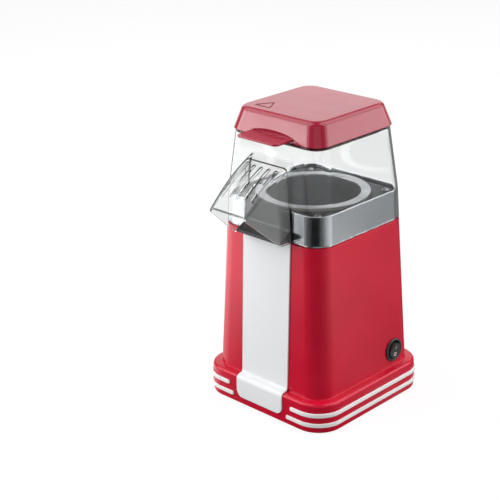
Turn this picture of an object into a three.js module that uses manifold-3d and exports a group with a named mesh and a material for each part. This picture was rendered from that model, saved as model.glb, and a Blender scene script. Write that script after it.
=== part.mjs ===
// A hot-air popcorn maker: a tapered square housing on a wider plinth, a clear
// hood with a pouring spout, and a measuring cap that closes the hood.
// Millimetres, +Z up, the spout faces -Y and the rocker switch faces +X.
// The group's origin is on the surface that the machine stands on, below the
// middle of its bounding box. Inside the group the tower's axis is x = y = 0.

import * as THREE from 'three';
import { ConvexGeometry } from 'three/addons/geometries/ConvexGeometry.js';
import { LoftGeometry } from 'three/addons/geometries/LoftGeometry.js';
import { mergeVertices } from 'three/addons/utils/BufferGeometryUtils.js';
import Module from 'manifold-3d';

const wasm = await Module();
wasm.setup();

// ---- driving dimensions -------------------------------------------------

const FIT_GAP = 0.3;             // clearance between pieces that touch
const FOOT_PROUD = 1.5;          // the feet lift the plinth off the table
const CORNER_STEPS = 5;          // facets round one corner of a square section
const ROUND_STEPS = 32;          // facets round a turned piece
const SMALL_ROUND_STEPS = 8;     // facets round a screw, a post or a diode
const TUBE_SIDES = 6;            // facets round a lead or the heater's coil

const PLINTH_HALF = 77.8;        // half the plinth's width
const PLINTH_TOP_Z = 29;
const PLINTH_CORNER = 26;
const BODY_FOOT_HALF = 69.4;     // half the tower's width where it meets the plinth
const BODY_TOP_HALF = 63.4;      // half the tower's width at its top
const BODY_CORNER = 20;
const BODY_TOP_Z = 178;
const SHELL_WALL = 2.5;
const FLANGE_HALF = 50;          // half the opening in the housing's top flange

const HOOD_FOOT_Z = 178.4;
const BAND_TOP_Z = 206.7;
const BAND_HALF = 61.2;          // half the band's width at its foot
const SHOULDER_Z = 268.2;        // where the cap rests on the hood
const SHOULDER_HALF = 54.9;
const NECK_TOP_Z = 274;
const NECK_OPENING = 46;         // half the hood's filling opening
const HOOD_WALL = 2;

const CAP_FOOT_Z = SHOULDER_Z + FIT_GAP;
const CAP_TOP_Z = 290;
const CAP_HALF = 56;
const CUP_FOOT_Z = 262;          // the measuring cup hangs below the cap's rim
const CUP_HALF = 45.4;
const CUP_WALL = 2;
const TAB_REACH = 77;            // from the tower's axis to the tab's front edge
const TAB_HALF_WIDTH = 25;

const SPOUT_REACH = 113.4;       // from the tower's axis to the spout's tip
const STRIPE_PROUD = 1.6;
const STRIPE_FOOTS = { lower: 6.3, upper: 16.5 };
const STRIPE_HEIGHTS = { lower: 4.8, upper: 5 };
const STRIPE_ENDS = { lower: 34.5, upper: 39.5 };   // half the gap at the front

const CHAMBER_RADIUS = 45.2;
const CHAMBER_WALL = 1.2;
const CHAMBER_FOOT_Z = 122;
const DECK_TOP_Z = 203;
const DECK_THICKNESS = 3;
const JACKET_RADIUS = 48.3;
const FAN_FLOOR_Z = 50;
const FAN_TOP_Z = 84;
const FAN_RADIUS = 52;
const SHAFT_RADIUS = 1.5;
const MOTOR_RADIUS = 16;
const COVER_FOOT_Z = 3;
const COVER_THICKNESS = 2.5;
const COVER_TOP_Z = COVER_FOOT_Z + COVER_THICKNESS;

const FOOT_OFFSET = 58;          // feet, from the axis along X and Y
const BASE_SCREW_OFFSET = 70.5;  // base screws, from the axis along one side
const DECK_SCREW_OFFSET = 47.5;  // deck screws, from the axis along X and Y
const MOTOR_SCREW_OFFSET = 9;
const LEG_OFFSET = 35;           // fan housing legs, from the axis along X and Y

const SWITCH_Y = 38.6;
const SWITCH_Z = 46.8;
const ROCKER_TILT = THREE.MathUtils.degToRad(10);
const GLAND_Z = 46;

const BODY_LEAN = (BODY_FOOT_HALF - BODY_TOP_HALF) / (BODY_TOP_Z - PLINTH_TOP_Z);
const BODY_LEAN_ANGLE = Math.atan(BODY_LEAN);

// The box runs from the spout's tip to the stripes' back face.
const AXIS_Y = (SPOUT_REACH - (PLINTH_HALF + STRIPE_PROUD)) / 2;

// ---- materials ------------------------------------------------------------

const FINISHES = {
  redPlastic: { color: 0xc2182f, roughness: 0.28, metalness: 0 },
  whitePlastic: { color: 0xe9ecec, roughness: 0.35, metalness: 0 },
  clearPlastic: { color: 0xdfe7e4, roughness: 0.08, metalness: 0, transparent: true, opacity: 0.35 },
  blackPlastic: { color: 0x17181a, roughness: 0.45, metalness: 0 },
  greyBand: { color: 0x8f9498, roughness: 0.3, metalness: 0.8 },
  aluminium: { color: 0xb9bcc0, roughness: 0.35, metalness: 0.9 },
  steel: { color: 0x9da1a6, roughness: 0.4, metalness: 0.9 },
  rubber: { color: 0x202122, roughness: 0.9, metalness: 0 },
  silicone: { color: 0xb8b2a8, roughness: 0.8, metalness: 0 },
  mica: { color: 0xc9b58a, roughness: 0.6, metalness: 0 },
  nichrome: { color: 0x6d6a66, roughness: 0.5, metalness: 0.8 },
  brass: { color: 0xc9a24f, roughness: 0.35, metalness: 0.9 },
  circuitBoard: { color: 0x2f5d3a, roughness: 0.6, metalness: 0 },
  redWire: { color: 0xa8242a, roughness: 0.6, metalness: 0 },
  blueWire: { color: 0x2b4f9c, roughness: 0.6, metalness: 0 },
};

const machine = new THREE.Group();
machine.position.y = AXIS_Y;

function addPiece(parent, name, geometry, finish) {
  const mesh = new THREE.Mesh(geometry, new THREE.MeshStandardMaterial(FINISHES[finish]));
  mesh.name = name;
  parent.add(mesh);
  return mesh;
}

// ---- solids ---------------------------------------------------------------

// Joins a geometry's shared corners and hands it to the boolean library.
function toSolid(geometry) {
  const bare = new THREE.BufferGeometry();
  bare.setAttribute('position', geometry.attributes.position);
  bare.setIndex(geometry.index);
  const merged = mergeVertices(bare, 1e-4);
  return new wasm.Manifold(new wasm.Mesh({
    numProp: 3,
    vertProperties: Float32Array.from(merged.attributes.position.array),
    triVerts: Uint32Array.from(merged.index.array),
  }));
}

function toGeometry(solid) {
  const mesh = solid.getMesh();
  const geometry = new THREE.BufferGeometry();
  geometry.setAttribute('position', new THREE.BufferAttribute(mesh.vertProperties, 3));
  geometry.setIndex(new THREE.BufferAttribute(mesh.triVerts, 1));
  geometry.computeVertexNormals();
  return geometry;
}

function joinAll(first, others) {
  return others.reduce((solid, other) => solid.add(toSolid(other)), first);
}

function cutAll(first, others) {
  return others.reduce((solid, other) => solid.subtract(toSolid(other)), first);
}

// One level section of a rounded square, counterclockwise from above.
function squareSection(half, corner, z) {
  const points = [];
  for (let quarter = 0; quarter < 4; quarter += 1) {
    const turn = quarter * Math.PI / 2;
    for (let step = 0; step <= CORNER_STEPS; step += 1) {
      const angle = turn + (step / CORNER_STEPS) * Math.PI / 2;
      const centre = new THREE.Vector3(half - corner, half - corner, z);
      centre.applyAxisAngle(new THREE.Vector3(0, 0, 1), turn);
      points.push(centre.add(new THREE.Vector3(Math.cos(angle), Math.sin(angle), 0).multiplyScalar(corner)));
    }
  }
  return points;
}

// Each level is [z, half width, corner radius].
function squareSolid(levels) {
  const sections = levels.map(([z, half, corner]) => squareSection(half, corner, z));
  return new LoftGeometry(sections, { capStart: true, capEnd: true });
}

// The levels go up the outside and come down the inside of a wall.
function squareShell(levels) {
  return new LoftGeometry([...levels, levels[0]].map(([z, half, corner]) => squareSection(half, corner, z)));
}

// A turned piece about the Z axis, from [radius, z] corners going up the outside.
function turned(corners, steps = ROUND_STEPS) {
  const geometry = new THREE.LatheGeometry(corners.map(([r, z]) => new THREE.Vector2(r, z)), steps);
  return geometry.rotateX(Math.PI / 2);
}

// A turned piece whose profile closes on itself, off the axis.
function turnedRing(corners, steps = ROUND_STEPS) {
  return turned([...corners, corners[0]], steps);
}

function disc(radius, footZ, topZ, steps = ROUND_STEPS) {
  return turned([[0, footZ], [radius, footZ], [radius, topZ], [0, topZ]], steps);
}

function block(sizeX, sizeY, sizeZ, x, y, z) {
  return new THREE.BoxGeometry(sizeX, sizeY, sizeZ).translate(x, y, z);
}

// A flat outline in X and Y, standing from footZ to topZ. Each full-radius arc
// of the outline is split into twice curveSegments facets.
function slab(shape, footZ, topZ, curveSegments = 2) {
  const geometry = new THREE.ExtrudeGeometry(shape, {
    depth: topZ - footZ,
    bevelEnabled: false,
    curveSegments,
  });
  return geometry.translate(0, 0, footZ);
}

function slotShape(length, width) {
  const reach = (length - width) / 2;
  const shape = new THREE.Shape();
  shape.absarc(reach, 0, width / 2, -Math.PI / 2, Math.PI / 2, false);
  shape.absarc(-reach, 0, width / 2, Math.PI / 2, 3 * Math.PI / 2, false);
  return shape;
}

function roundedRectangle(width, depth, corner) {
  const x = width / 2 - corner;
  const y = depth / 2 - corner;
  const shape = new THREE.Shape();
  shape.absarc(x, y, corner, 0, Math.PI / 2, false);
  shape.absarc(-x, y, corner, Math.PI / 2, Math.PI, false);
  shape.absarc(-x, -y, corner, Math.PI, 3 * Math.PI / 2, false);
  shape.absarc(x, -y, corner, 3 * Math.PI / 2, 2 * Math.PI, false);
  return shape;
}

function tube(points, radius, steps) {
  const route = new THREE.CatmullRomCurve3(points, false, 'centripetal');
  const section = new THREE.Shape();
  section.absarc(0, 0, radius, 0, 2 * Math.PI, false);
  return new THREE.ExtrudeGeometry(section, { extrudePath: route, steps, curveSegments: TUBE_SIDES / 2 });
}

function fourCorners(offset) {
  return [[1, -1], [1, 1], [-1, 1], [-1, -1]].map(([sx, sy]) => [sx * offset, sy * offset]);
}

function fourSides(offset) {
  return [[offset, 0], [0, offset], [-offset, 0], [0, -offset]];
}

// ---- housing and its trim ---------------------------------------------------

// Half the tower's width at a height between the plinth and the top.
function bodyHalf(z) {
  return BODY_FOOT_HALF - BODY_LEAN * (z - PLINTH_TOP_Z);
}

// Stands on one side of the tower: local +Z points out of the leaning wall.
function wallMount(quarterTurns, along, z) {
  const turn = new THREE.Group();
  turn.rotation.z = quarterTurns * Math.PI / 2;
  const mount = new THREE.Group();
  mount.position.set(bodyHalf(z), along, z);
  mount.rotation.y = Math.PI / 2 - BODY_LEAN_ANGLE;
  turn.add(mount);
  machine.add(turn);
  turn.updateMatrixWorld(true);
  return mount;
}

const switchMount = wallMount(0, SWITCH_Y, SWITCH_Z);
const glandMount = wallMount(1, 0, GLAND_Z);

// Moves a cutter from a wall mount's frame into the tower's frame.
function fromMount(mount, geometry) {
  const toTower = new THREE.Matrix4().multiplyMatrices(mount.parent.matrix, mount.matrix);
  return geometry.applyMatrix4(toTower);
}

function mainHousing() {
  const innerTop = BODY_TOP_HALF - SHELL_WALL;
  const innerFoot = BODY_FOOT_HALF - SHELL_WALL;
  const ledge = PLINTH_TOP_Z - SHELL_WALL;
  const shell = toSolid(squareShell([
    [FOOT_PROUD, PLINTH_HALF - 1.2, PLINTH_CORNER - 1.2],
    [FOOT_PROUD + 2.5, PLINTH_HALF, PLINTH_CORNER],
    [PLINTH_TOP_Z - 3.5, PLINTH_HALF, PLINTH_CORNER],
    [PLINTH_TOP_Z - 1, PLINTH_HALF - 0.9, PLINTH_CORNER - 0.9],
    [PLINTH_TOP_Z, PLINTH_HALF - 3, PLINTH_CORNER - 3],
    [PLINTH_TOP_Z + 1, BODY_FOOT_HALF + 1.6, BODY_CORNER + 1.6],
    [PLINTH_TOP_Z + 3.5, bodyHalf(PLINTH_TOP_Z + 3.5), BODY_CORNER],
    [BODY_TOP_Z, BODY_TOP_HALF, BODY_CORNER],
    [BODY_TOP_Z, FLANGE_HALF, BODY_CORNER - 2],
    [BODY_TOP_Z - SHELL_WALL, FLANGE_HALF, BODY_CORNER - 2],
    [BODY_TOP_Z - SHELL_WALL, innerTop, BODY_CORNER - SHELL_WALL],
    [PLINTH_TOP_Z, innerFoot, BODY_CORNER - SHELL_WALL],
    [ledge, innerFoot + 1, BODY_CORNER - SHELL_WALL],
    [ledge, PLINTH_HALF - SHELL_WALL, PLINTH_CORNER - SHELL_WALL],
    [FOOT_PROUD, PLINTH_HALF - SHELL_WALL, PLINTH_CORNER - SHELL_WALL],
  ]));
  const postTop = DECK_TOP_Z - DECK_THICKNESS - FIT_GAP;
  const deckPosts = fourCorners(DECK_SCREW_OFFSET).map(([x, y]) => (
    disc(4, BODY_TOP_Z - 1, postTop, SMALL_ROUND_STEPS).translate(x, y, 0)
  ));
  const baseBosses = fourSides(BASE_SCREW_OFFSET).map(([x, y]) => (
    disc(4, COVER_TOP_Z + FIT_GAP, ledge + 1, SMALL_ROUND_STEPS).translate(x, y, 0)
  ));
  const deckHoles = fourCorners(DECK_SCREW_OFFSET).map(([x, y]) => (
    disc(1.8, DECK_TOP_Z - 18, DECK_TOP_Z, SMALL_ROUND_STEPS).translate(x, y, 0)
  ));
  const baseHoles = fourSides(BASE_SCREW_OFFSET).map(([x, y]) => (
    disc(1.8, 0, 16, SMALL_ROUND_STEPS).translate(x, y, 0)
  ));
  const switchHole = fromMount(switchMount, disc(10.1, -8, 8));
  const glandHole = fromMount(glandMount, disc(6.3, -8, 8, 20));
  const posted = joinAll(shell, [...deckPosts, ...baseBosses]);
  return toGeometry(cutAll(posted, [...deckHoles, ...baseHoles, switchHole, glandHole]));
}

// A raised bead round the plinth, open across the front.
function plinthStripe(level) {
  const foot = STRIPE_FOOTS[level];
  const top = foot + STRIPE_HEIGHTS[level];
  const inner = PLINTH_HALF + FIT_GAP;
  const outer = PLINTH_HALF + STRIPE_PROUD;
  const corner = PLINTH_CORNER + FIT_GAP;
  const bead = squareShell([
    [foot, outer - 0.5, corner + STRIPE_PROUD - 0.8],
    [foot + 0.7, outer, corner + STRIPE_PROUD - FIT_GAP],
    [top - 0.7, outer, corner + STRIPE_PROUD - FIT_GAP],
    [top, outer - 0.5, corner + STRIPE_PROUD - 0.8],
    [top, inner, corner],
    [foot, inner, corner],
  ]);
  const frontGap = block(2 * STRIPE_ENDS[level], 20, 20, 0, -PLINTH_HALF, (foot + top) / 2);
  return toGeometry(cutAll(toSolid(bead), [frontGap]));
}

// The white panel follows the tower's face, the ledge and the plinth's face.
function frontPanel() {
  const back = FIT_GAP;
  const face = FIT_GAP + 1.2;
  const halfWidth = 29.5;
  const foot = 8;
  const top = BODY_TOP_Z - 0.2;
  const side = new THREE.Shape([
    [bodyHalf(top) + back, top],
    [bodyHalf(PLINTH_TOP_Z + 3.5) + back, PLINTH_TOP_Z + 3.6],
    [BODY_FOOT_HALF + 1.6 + back, PLINTH_TOP_Z + 1.3],
    [PLINTH_HALF - 3 + back / 2, PLINTH_TOP_Z + back],
    [PLINTH_HALF - 0.9 + back, PLINTH_TOP_Z - 0.8],
    [PLINTH_HALF + back, PLINTH_TOP_Z - 3.4],
    [PLINTH_HALF + back, foot],
    [PLINTH_HALF + face, foot],
    [PLINTH_HALF + face, PLINTH_TOP_Z - 3.1],
    [PLINTH_HALF - 0.2 + back, PLINTH_TOP_Z + 0.1],
    [PLINTH_HALF - 2.6, PLINTH_TOP_Z + 1.5],
    [BODY_FOOT_HALF + 2.6 + back, PLINTH_TOP_Z + 2.4],
    [bodyHalf(PLINTH_TOP_Z + 4.5) + face, PLINTH_TOP_Z + 4.6],
    [bodyHalf(top) + face, top],
  ].map(([out, z]) => new THREE.Vector2(out, z)));
  const strip = new THREE.ExtrudeGeometry(side, { depth: 2 * halfWidth, bevelEnabled: false });
  strip.translate(0, 0, -halfWidth);
  strip.rotateX(Math.PI / 2);
  strip.rotateZ(-Math.PI / 2);
  const outline = roundedRectangle(2 * halfWidth, top - foot + 40, 8);
  const cutter = new THREE.ExtrudeGeometry(outline, { depth: 40, bevelEnabled: false, curveSegments: 3 });
  cutter.rotateX(Math.PI / 2);
  cutter.translate(0, -50, (top + foot) / 2 + 20);
  return toGeometry(toSolid(strip).intersect(toSolid(cutter)));
}

function bottomCover() {
  const half = PLINTH_HALF - SHELL_WALL - 0.6;
  const plate = toSolid(squareSolid([
    [COVER_FOOT_Z, half, PLINTH_CORNER - SHELL_WALL - 0.6],
    [COVER_TOP_Z, half, PLINTH_CORNER - SHELL_WALL - 0.6],
  ]));
  const pegs = fourCorners(LEG_OFFSET).map(([x, y]) => (
    disc(1.6, COVER_TOP_Z - 1, COVER_TOP_Z + 8, SMALL_ROUND_STEPS).translate(x, y, 0)
  ));
  const ventPitch = 8;
  const ventCount = 7;
  const vents = [];
  for (let row = 0; row < ventCount; row += 1) {
    const offset = (row - (ventCount - 1) / 2) * ventPitch;
    vents.push(slab(slotShape(56, 3.4), 0, COVER_TOP_Z + 1).translate(0, offset, 0));
  }
  const screwHoles = fourSides(BASE_SCREW_OFFSET).map(([x, y]) => (
    disc(1.8, 0, COVER_TOP_Z + 1, SMALL_ROUND_STEPS).translate(x, y, 0)
  ));
  const footHoles = fourCorners(FOOT_OFFSET).map(([x, y]) => (
    disc(2.7, 0, COVER_TOP_Z + 1, SMALL_ROUND_STEPS).translate(x, y, 0)
  ));
  return toGeometry(cutAll(joinAll(plate, pegs), [...vents, ...screwHoles, ...footHoles]));
}

function rubberFoot() {
  const padTop = COVER_FOOT_Z - FIT_GAP;
  return turned([
    [0, 0], [8.2, 0], [9, 0.8], [9, padTop], [2.3, padTop],
    [2.3, COVER_TOP_Z + 0.4], [3.2, COVER_TOP_Z + 0.8], [1.6, COVER_TOP_Z + 3], [0, COVER_TOP_Z + 3],
  ], 16);
}

// A pan-head screw pointing up, its head's seat at z = 0.
function screw(headRadius, headHeight, shankRadius, length) {
  return turned([
    [0, -headHeight], [headRadius * 0.8, -headHeight], [headRadius, 0],
    [shankRadius, 0], [shankRadius, length - 1], [0, length],
  ], SMALL_ROUND_STEPS);
}

function cordGland() {
  return turnedRing([
    [3.6, -9], [5.6, -9], [6, -6], [6, FIT_GAP], [9, FIT_GAP],
    [9, 1.6], [5.4, 3.2], [4.6, 4.6], [3.6, 4.6],
  ], 16);
}

// ---- rocker switch ----------------------------------------------------------

function switchBezel() {
  return turned([
    [0, -14], [9.7, -14], [9.7, FIT_GAP], [11.5, FIT_GAP], [11.5, 1.5],
    [10.9, 2.1], [9, 2.1], [9, -9], [0, -9],
  ]);
}

// Local -X is up on the wall. The paddle turns about local Y.
function switchRocker() {
  const side = new THREE.Shape([
    [-8.3, 3.6], [-8.2, 0.2], [-4.5, -6], [4.5, -6], [8.2, 0.2], [8.3, 3.6], [4, 2.1], [0, 1.6], [-4, 2.1],
  ].map(([x, z]) => new THREE.Vector2(x, z)));
  const wedge = new THREE.ExtrudeGeometry(side, { depth: 20, bevelEnabled: false });
  wedge.translate(0, 0, -10);
  wedge.rotateX(Math.PI / 2);
  const round = toSolid(disc(8.3, -10, 10, 28));
  return toGeometry(round.intersect(toSolid(wedge)));
}

function switchTerminal(side) {
  return block(4.8, 0.8, 8, 0, side * 3.6, -14 - FIT_GAP - 4);
}

// ---- hood and cap -----------------------------------------------------------

// The spout as a convex block, from its root in the hood to its tip. The roof
// curves down and the two sides flare towards the bottom. A block with an inset
// is the passage inside the walls: it runs on past the mouth and out below.
function spoutBlock(inset) {
  const cheek = 4;
  const rootY = -50;
  const mouthY = -77;
  const rootHalf = 30.3;
  const mouthHalf = 30;
  const tipHalf = 22.5;
  const tipZ = 214.6;
  const floorZ = inset > 0 ? HOOD_FOOT_Z - 3 : HOOD_FOOT_Z;
  const overrun = inset * 6;
  const roof = [
    [rootY, 253.4, 26.6], [-57, 250.9, 26.3], [-70, 244.8, 25.8], [-84, 237.2, 24.9],
    [-99, 226.4, 23.7], [-SPOUT_REACH, tipZ, tipHalf],
    [-SPOUT_REACH - overrun, tipZ - overrun * 0.9, tipHalf],
  ];
  // Past the mouth the passage narrows faster than the walls, so it stays inside them.
  const overrunY = mouthY - overrun * 1.6;
  const overrunHalf = mouthHalf - inset - overrun * 0.4;
  const points = [];
  for (const side of [-1, 1]) {
    for (const [y, z, half] of roof) {
      points.push(new THREE.Vector3(side * (half - inset - cheek), y, z - inset * 1.2));
      points.push(new THREE.Vector3(side * (half - inset), y, z - inset * 1.2 - cheek));
    }
    points.push(new THREE.Vector3(side * (rootHalf - inset), rootY + inset * 3, floorZ));
    points.push(new THREE.Vector3(side * (mouthHalf - inset), mouthY, floorZ));
    points.push(new THREE.Vector3(side * overrunHalf, overrunY, floorZ));
  }
  return toSolid(new ConvexGeometry(points));
}

// Long parallel slots that let steam out through the spout's roof.
function spoutSlots() {
  const roofAngle = Math.atan2(250.9 - 226.4, 99 - 57);
  const slots = [];
  for (let row = -2; row <= 2; row += 1) {
    const cutter = slab(slotShape(39, 2.6), -6, 6).rotateZ(Math.PI / 2);
    cutter.rotateX(roofAngle);
    slots.push(cutter.translate(row * 9, -83, 237.5));
  }
  return slots;
}

function clearHood() {
  const skirtHalf = BAND_HALF + FIT_GAP;
  const outside = [
    [HOOD_FOOT_Z, 63.4, 20],
    [BAND_TOP_Z, 62.2, 19.6],
    [SHOULDER_Z, SHOULDER_HALF, 16],
    [SHOULDER_Z, 51.2, 12.6],
    [NECK_TOP_Z, 50.6, 12.2],
  ];
  const inside = [
    [NECK_TOP_Z, NECK_OPENING, 9],
    [NECK_TOP_Z - 1.6, NECK_OPENING, 9],
    [NECK_TOP_Z - 1.6, 49, 11],
    [SHOULDER_Z - HOOD_WALL, 49.2, 11.2],
    [SHOULDER_Z - HOOD_WALL - 2, SHOULDER_HALF - HOOD_WALL + 0.3, 14.2],
    [BAND_TOP_Z, 60.3, 17.8],
    [HOOD_FOOT_Z, skirtHalf, 18.2],
  ];
  const shell = toSolid(squareShell([...outside, ...inside]));
  const cavity = toSolid(squareSolid([
    [HOOD_FOOT_Z - 5, skirtHalf + 0.2, 18.4],
    [BAND_TOP_Z, 60.4, 17.9],
    [SHOULDER_Z - HOOD_WALL - 2, SHOULDER_HALF - HOOD_WALL + 0.4, 14.3],
  ]));
  const spout = spoutBlock(0).subtract(cavity);
  return toGeometry(cutAll(shell.add(spout).subtract(spoutBlock(HOOD_WALL)), spoutSlots()));
}

// The cap's skirt closes over the hood's neck, and its inner wall is a cup.
function measuringCap() {
  const shell = toSolid(squareSolid([
    [CAP_FOOT_Z, CAP_HALF - 0.6, 14.4],
    [CAP_FOOT_Z + 0.8, CAP_HALF, 15],
    [CAP_TOP_Z - 7, CAP_HALF - 4.8, 13.5],
    [CAP_TOP_Z - 3.4, CAP_HALF - 6, 12.8],
    [CAP_TOP_Z - 1, CAP_HALF - 7.8, 11.6],
    [CAP_TOP_Z, CAP_HALF - 10.4, 10],
  ]));
  const cupOutside = squareSolid([
    [CUP_FOOT_Z, CUP_HALF - 0.4, 8.4],
    [NECK_TOP_Z + 2, CUP_HALF, 8.8],
  ]);
  const neckSpace = toSolid(squareSolid([
    [CAP_FOOT_Z - 1, 54, 13.4],
    [NECK_TOP_Z + 1, 52, 12.6],
  ])).subtract(toSolid(cupOutside));
  const cupSpace = squareSolid([
    [CUP_FOOT_Z - 1, CUP_HALF - CUP_WALL - 0.4, 6.6],
    [CAP_TOP_Z - 5, CUP_HALF - CUP_WALL, 6.8],
    [CAP_TOP_Z - 2.4, CUP_HALF - CUP_WALL - 3, 4.4],
  ]);
  const tabDepth = TAB_REACH - CAP_HALF + 6;
  const tab = slab(roundedRectangle(2 * TAB_HALF_WIDTH, tabDepth, 6), CAP_FOOT_Z + 1.5, CAP_FOOT_Z + 4, 3);
  tab.translate(0, -TAB_REACH + tabDepth / 2, 0);
  const walled = shell.add(toSolid(cupOutside)).add(toSolid(tab)).subtract(neckSpace);
  return toGeometry(cutAll(walled, [cupSpace]));
}

// ---- band, ramp, deck and chamber ---------------------------------------------

const BAND_WALL = 1.6;
const BAND_RIM_HALF = BAND_HALF - 1.2;
const BAND_RIM_Z = BAND_TOP_Z - 0.2;

function bandRing() {
  const foot = BODY_TOP_Z + FIT_GAP;
  return squareShell([
    [foot, BAND_HALF, 18],
    [BAND_RIM_Z, BAND_RIM_HALF, 17.6],
    [BAND_RIM_Z, BAND_RIM_HALF - BAND_WALL, 16],
    [foot, BAND_HALF - BAND_WALL, 16.4],
  ]);
}

// The spout's sloping floor. Its back plate stands in front of the band and hooks
// over the band's rim, and it fits between the spout's walls without touching them.
function outletRamp() {
  const wall = 1.6;
  const foot = HOOD_FOOT_Z + 0.4;
  const lipY = 76.2;
  const lipTopZ = 181.4;
  const slope = 0.52;
  const plateFootY = BAND_HALF + FIT_GAP;
  const plateTopY = BAND_RIM_HALF + FIT_GAP;
  const rampTopY = plateFootY + 1;
  const rampTopZ = lipTopZ + slope * (lipY - rampTopY);
  const hookTopZ = BAND_RIM_Z + FIT_GAP + 1.5;
  const hookY = BAND_RIM_HALF - BAND_WALL - FIT_GAP;
  const side = [
    [lipY, foot], [lipY, lipTopZ], [rampTopY, rampTopZ], [plateTopY + 1.3, hookTopZ],
    [hookY - 1.2, hookTopZ], [hookY - 1.2, DECK_TOP_Z + FIT_GAP], [hookY, DECK_TOP_Z + FIT_GAP],
    [hookY, BAND_RIM_Z + FIT_GAP], [plateTopY, BAND_RIM_Z + FIT_GAP], [plateFootY, foot],
  ];
  const pocketTopY = plateFootY + wall;
  const pocket = [
    [lipY - wall, foot - 2], [lipY - wall, lipTopZ - wall * 0.9 + slope * wall],
    [pocketTopY, lipTopZ - wall * 0.9 + slope * (lipY - pocketTopY)], [pocketTopY, foot - 2],
  ];
  const across = (outline, half) => {
    const shape = new THREE.Shape(outline.map(([y, z]) => new THREE.Vector2(-y, z)));
    const solid = new THREE.ExtrudeGeometry(shape, { depth: 2 * half, bevelEnabled: false });
    return toSolid(solid.rotateY(Math.PI / 2).rotateX(Math.PI / 2).translate(-half, 0, 0));
  };
  const clearance = 0.6;
  const body = across(side, 32).intersect(spoutBlock(HOOD_WALL + clearance));
  return toGeometry(body.subtract(across(pocket, 25.5)));
}

function topDeck() {
  const half = 57.6;
  const corner = 15;
  const skirtWall = 2;
  const cup = toSolid(squareSolid([
    [BODY_TOP_Z + FIT_GAP, half, corner],
    [DECK_TOP_Z - 1, half, corner],
    [DECK_TOP_Z, half - 1, corner - 1],
  ]));
  const under = squareSolid([
    [BODY_TOP_Z - 1, half - skirtWall, corner - skirtWall],
    [DECK_TOP_Z - DECK_THICKNESS, half - skirtWall, corner - skirtWall],
  ]);
  const chamberHole = disc(47.5, DECK_TOP_Z - 10, DECK_TOP_Z + 1);
  const screwHoles = fourCorners(DECK_SCREW_OFFSET).map(([x, y]) => (
    disc(1.8, DECK_TOP_Z - 10, DECK_TOP_Z + 1, SMALL_ROUND_STEPS).translate(x, y, 0)
  ));
  return toGeometry(cutAll(cup, [under, chamberHole, ...screwHoles]));
}

function chamberGasket() {
  const foot = DECK_TOP_Z + FIT_GAP;
  return turnedRing([[48, foot], [53, foot], [53, foot + 1.4], [48, foot + 1.4]]);
}

// A deep aluminium pot with slanted air louvres just above its domed floor.
function poppingChamber() {
  const flangeZ = DECK_TOP_Z + FIT_GAP + 1.4 + FIT_GAP;
  const inner = CHAMBER_RADIUS - CHAMBER_WALL;
  const floor = CHAMBER_FOOT_Z + CHAMBER_WALL;
  const pot = turned([
    [0, CHAMBER_FOOT_Z + 3], [40, CHAMBER_FOOT_Z], [44.2, CHAMBER_FOOT_Z + 1.4],
    [CHAMBER_RADIUS, CHAMBER_FOOT_Z + 5], [CHAMBER_RADIUS, flangeZ], [53.5, flangeZ],
    [53.5, flangeZ + CHAMBER_WALL], [inner + 1, flangeZ + CHAMBER_WALL], [inner, flangeZ],
    [inner, floor + 4.4], [43, floor + 1.2], [39.8, floor], [0, floor + 3],
  ]);
  const louvres = [];
  const louvreCount = 16;
  for (let index = 0; index < louvreCount; index += 1) {
    const louvre = new THREE.BoxGeometry(6, 1.8, 9);
    louvre.rotateX(THREE.MathUtils.degToRad(35));
    louvre.translate(CHAMBER_RADIUS - 1, 0, CHAMBER_FOOT_Z + 11);
    louvres.push(louvre.rotateZ((index / louvreCount) * 2 * Math.PI));
  }
  return toGeometry(cutAll(toSolid(pot), louvres));
}

function chamberJacket() {
  const inner = JACKET_RADIUS - 0.8;
  const foot = FAN_TOP_Z + FIT_GAP;
  const top = DECK_TOP_Z - DECK_THICKNESS - 2;
  return turnedRing([[inner, foot], [JACKET_RADIUS, foot], [JACKET_RADIUS, top], [inner, top]]);
}

// ---- heater -----------------------------------------------------------------

const HEATER_FOOT_Z = 88;
const HEATER_TOP_Z = 116;
const MICA_REACH = 36;
const COIL_RADIUS = 38;

function micaCross() {
  const thin = 0.6;
  const outline = new THREE.Shape([
    [MICA_REACH, -thin], [MICA_REACH, thin], [thin, thin], [thin, MICA_REACH],
    [-thin, MICA_REACH], [-thin, thin], [-MICA_REACH, thin], [-MICA_REACH, -thin],
    [-thin, -thin], [-thin, -MICA_REACH], [thin, -MICA_REACH], [thin, -thin],
  ].map(([x, y]) => new THREE.Vector2(x, y)));
  return slab(outline, HEATER_FOOT_Z, HEATER_TOP_Z);
}

function heaterCoil() {
  const turns = 5;
  const stepsPerTurn = 16;
  const points = [];
  for (let step = 0; step <= turns * stepsPerTurn; step += 1) {
    const angle = (step / stepsPerTurn) * 2 * Math.PI;
    const z = HEATER_FOOT_Z + 2 + (step / (turns * stepsPerTurn)) * (HEATER_TOP_Z - HEATER_FOOT_Z - 4);
    points.push(new THREE.Vector3(COIL_RADIUS * Math.cos(angle), COIL_RADIUS * Math.sin(angle), z));
  }
  return tube(points, 0.9, turns * stepsPerTurn);
}

// A bimetal disc in a flat can, lying against the air jacket.
function thermostat() {
  const can = disc(7, 0, 5, 20);
  can.rotateY(Math.PI / 2);
  return can.translate(JACKET_RADIUS + FIT_GAP + 0.4, 0, 150);
}

function thermalFuse() {
  const body = turned([[0, -7], [0.6, -7], [2, -5], [2, 5], [0.6, 8], [0, 8]], SMALL_ROUND_STEPS);
  return body.translate(-JACKET_RADIUS - 2 - FIT_GAP, 0, 150);
}

// ---- fan and motor ------------------------------------------------------------

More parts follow.
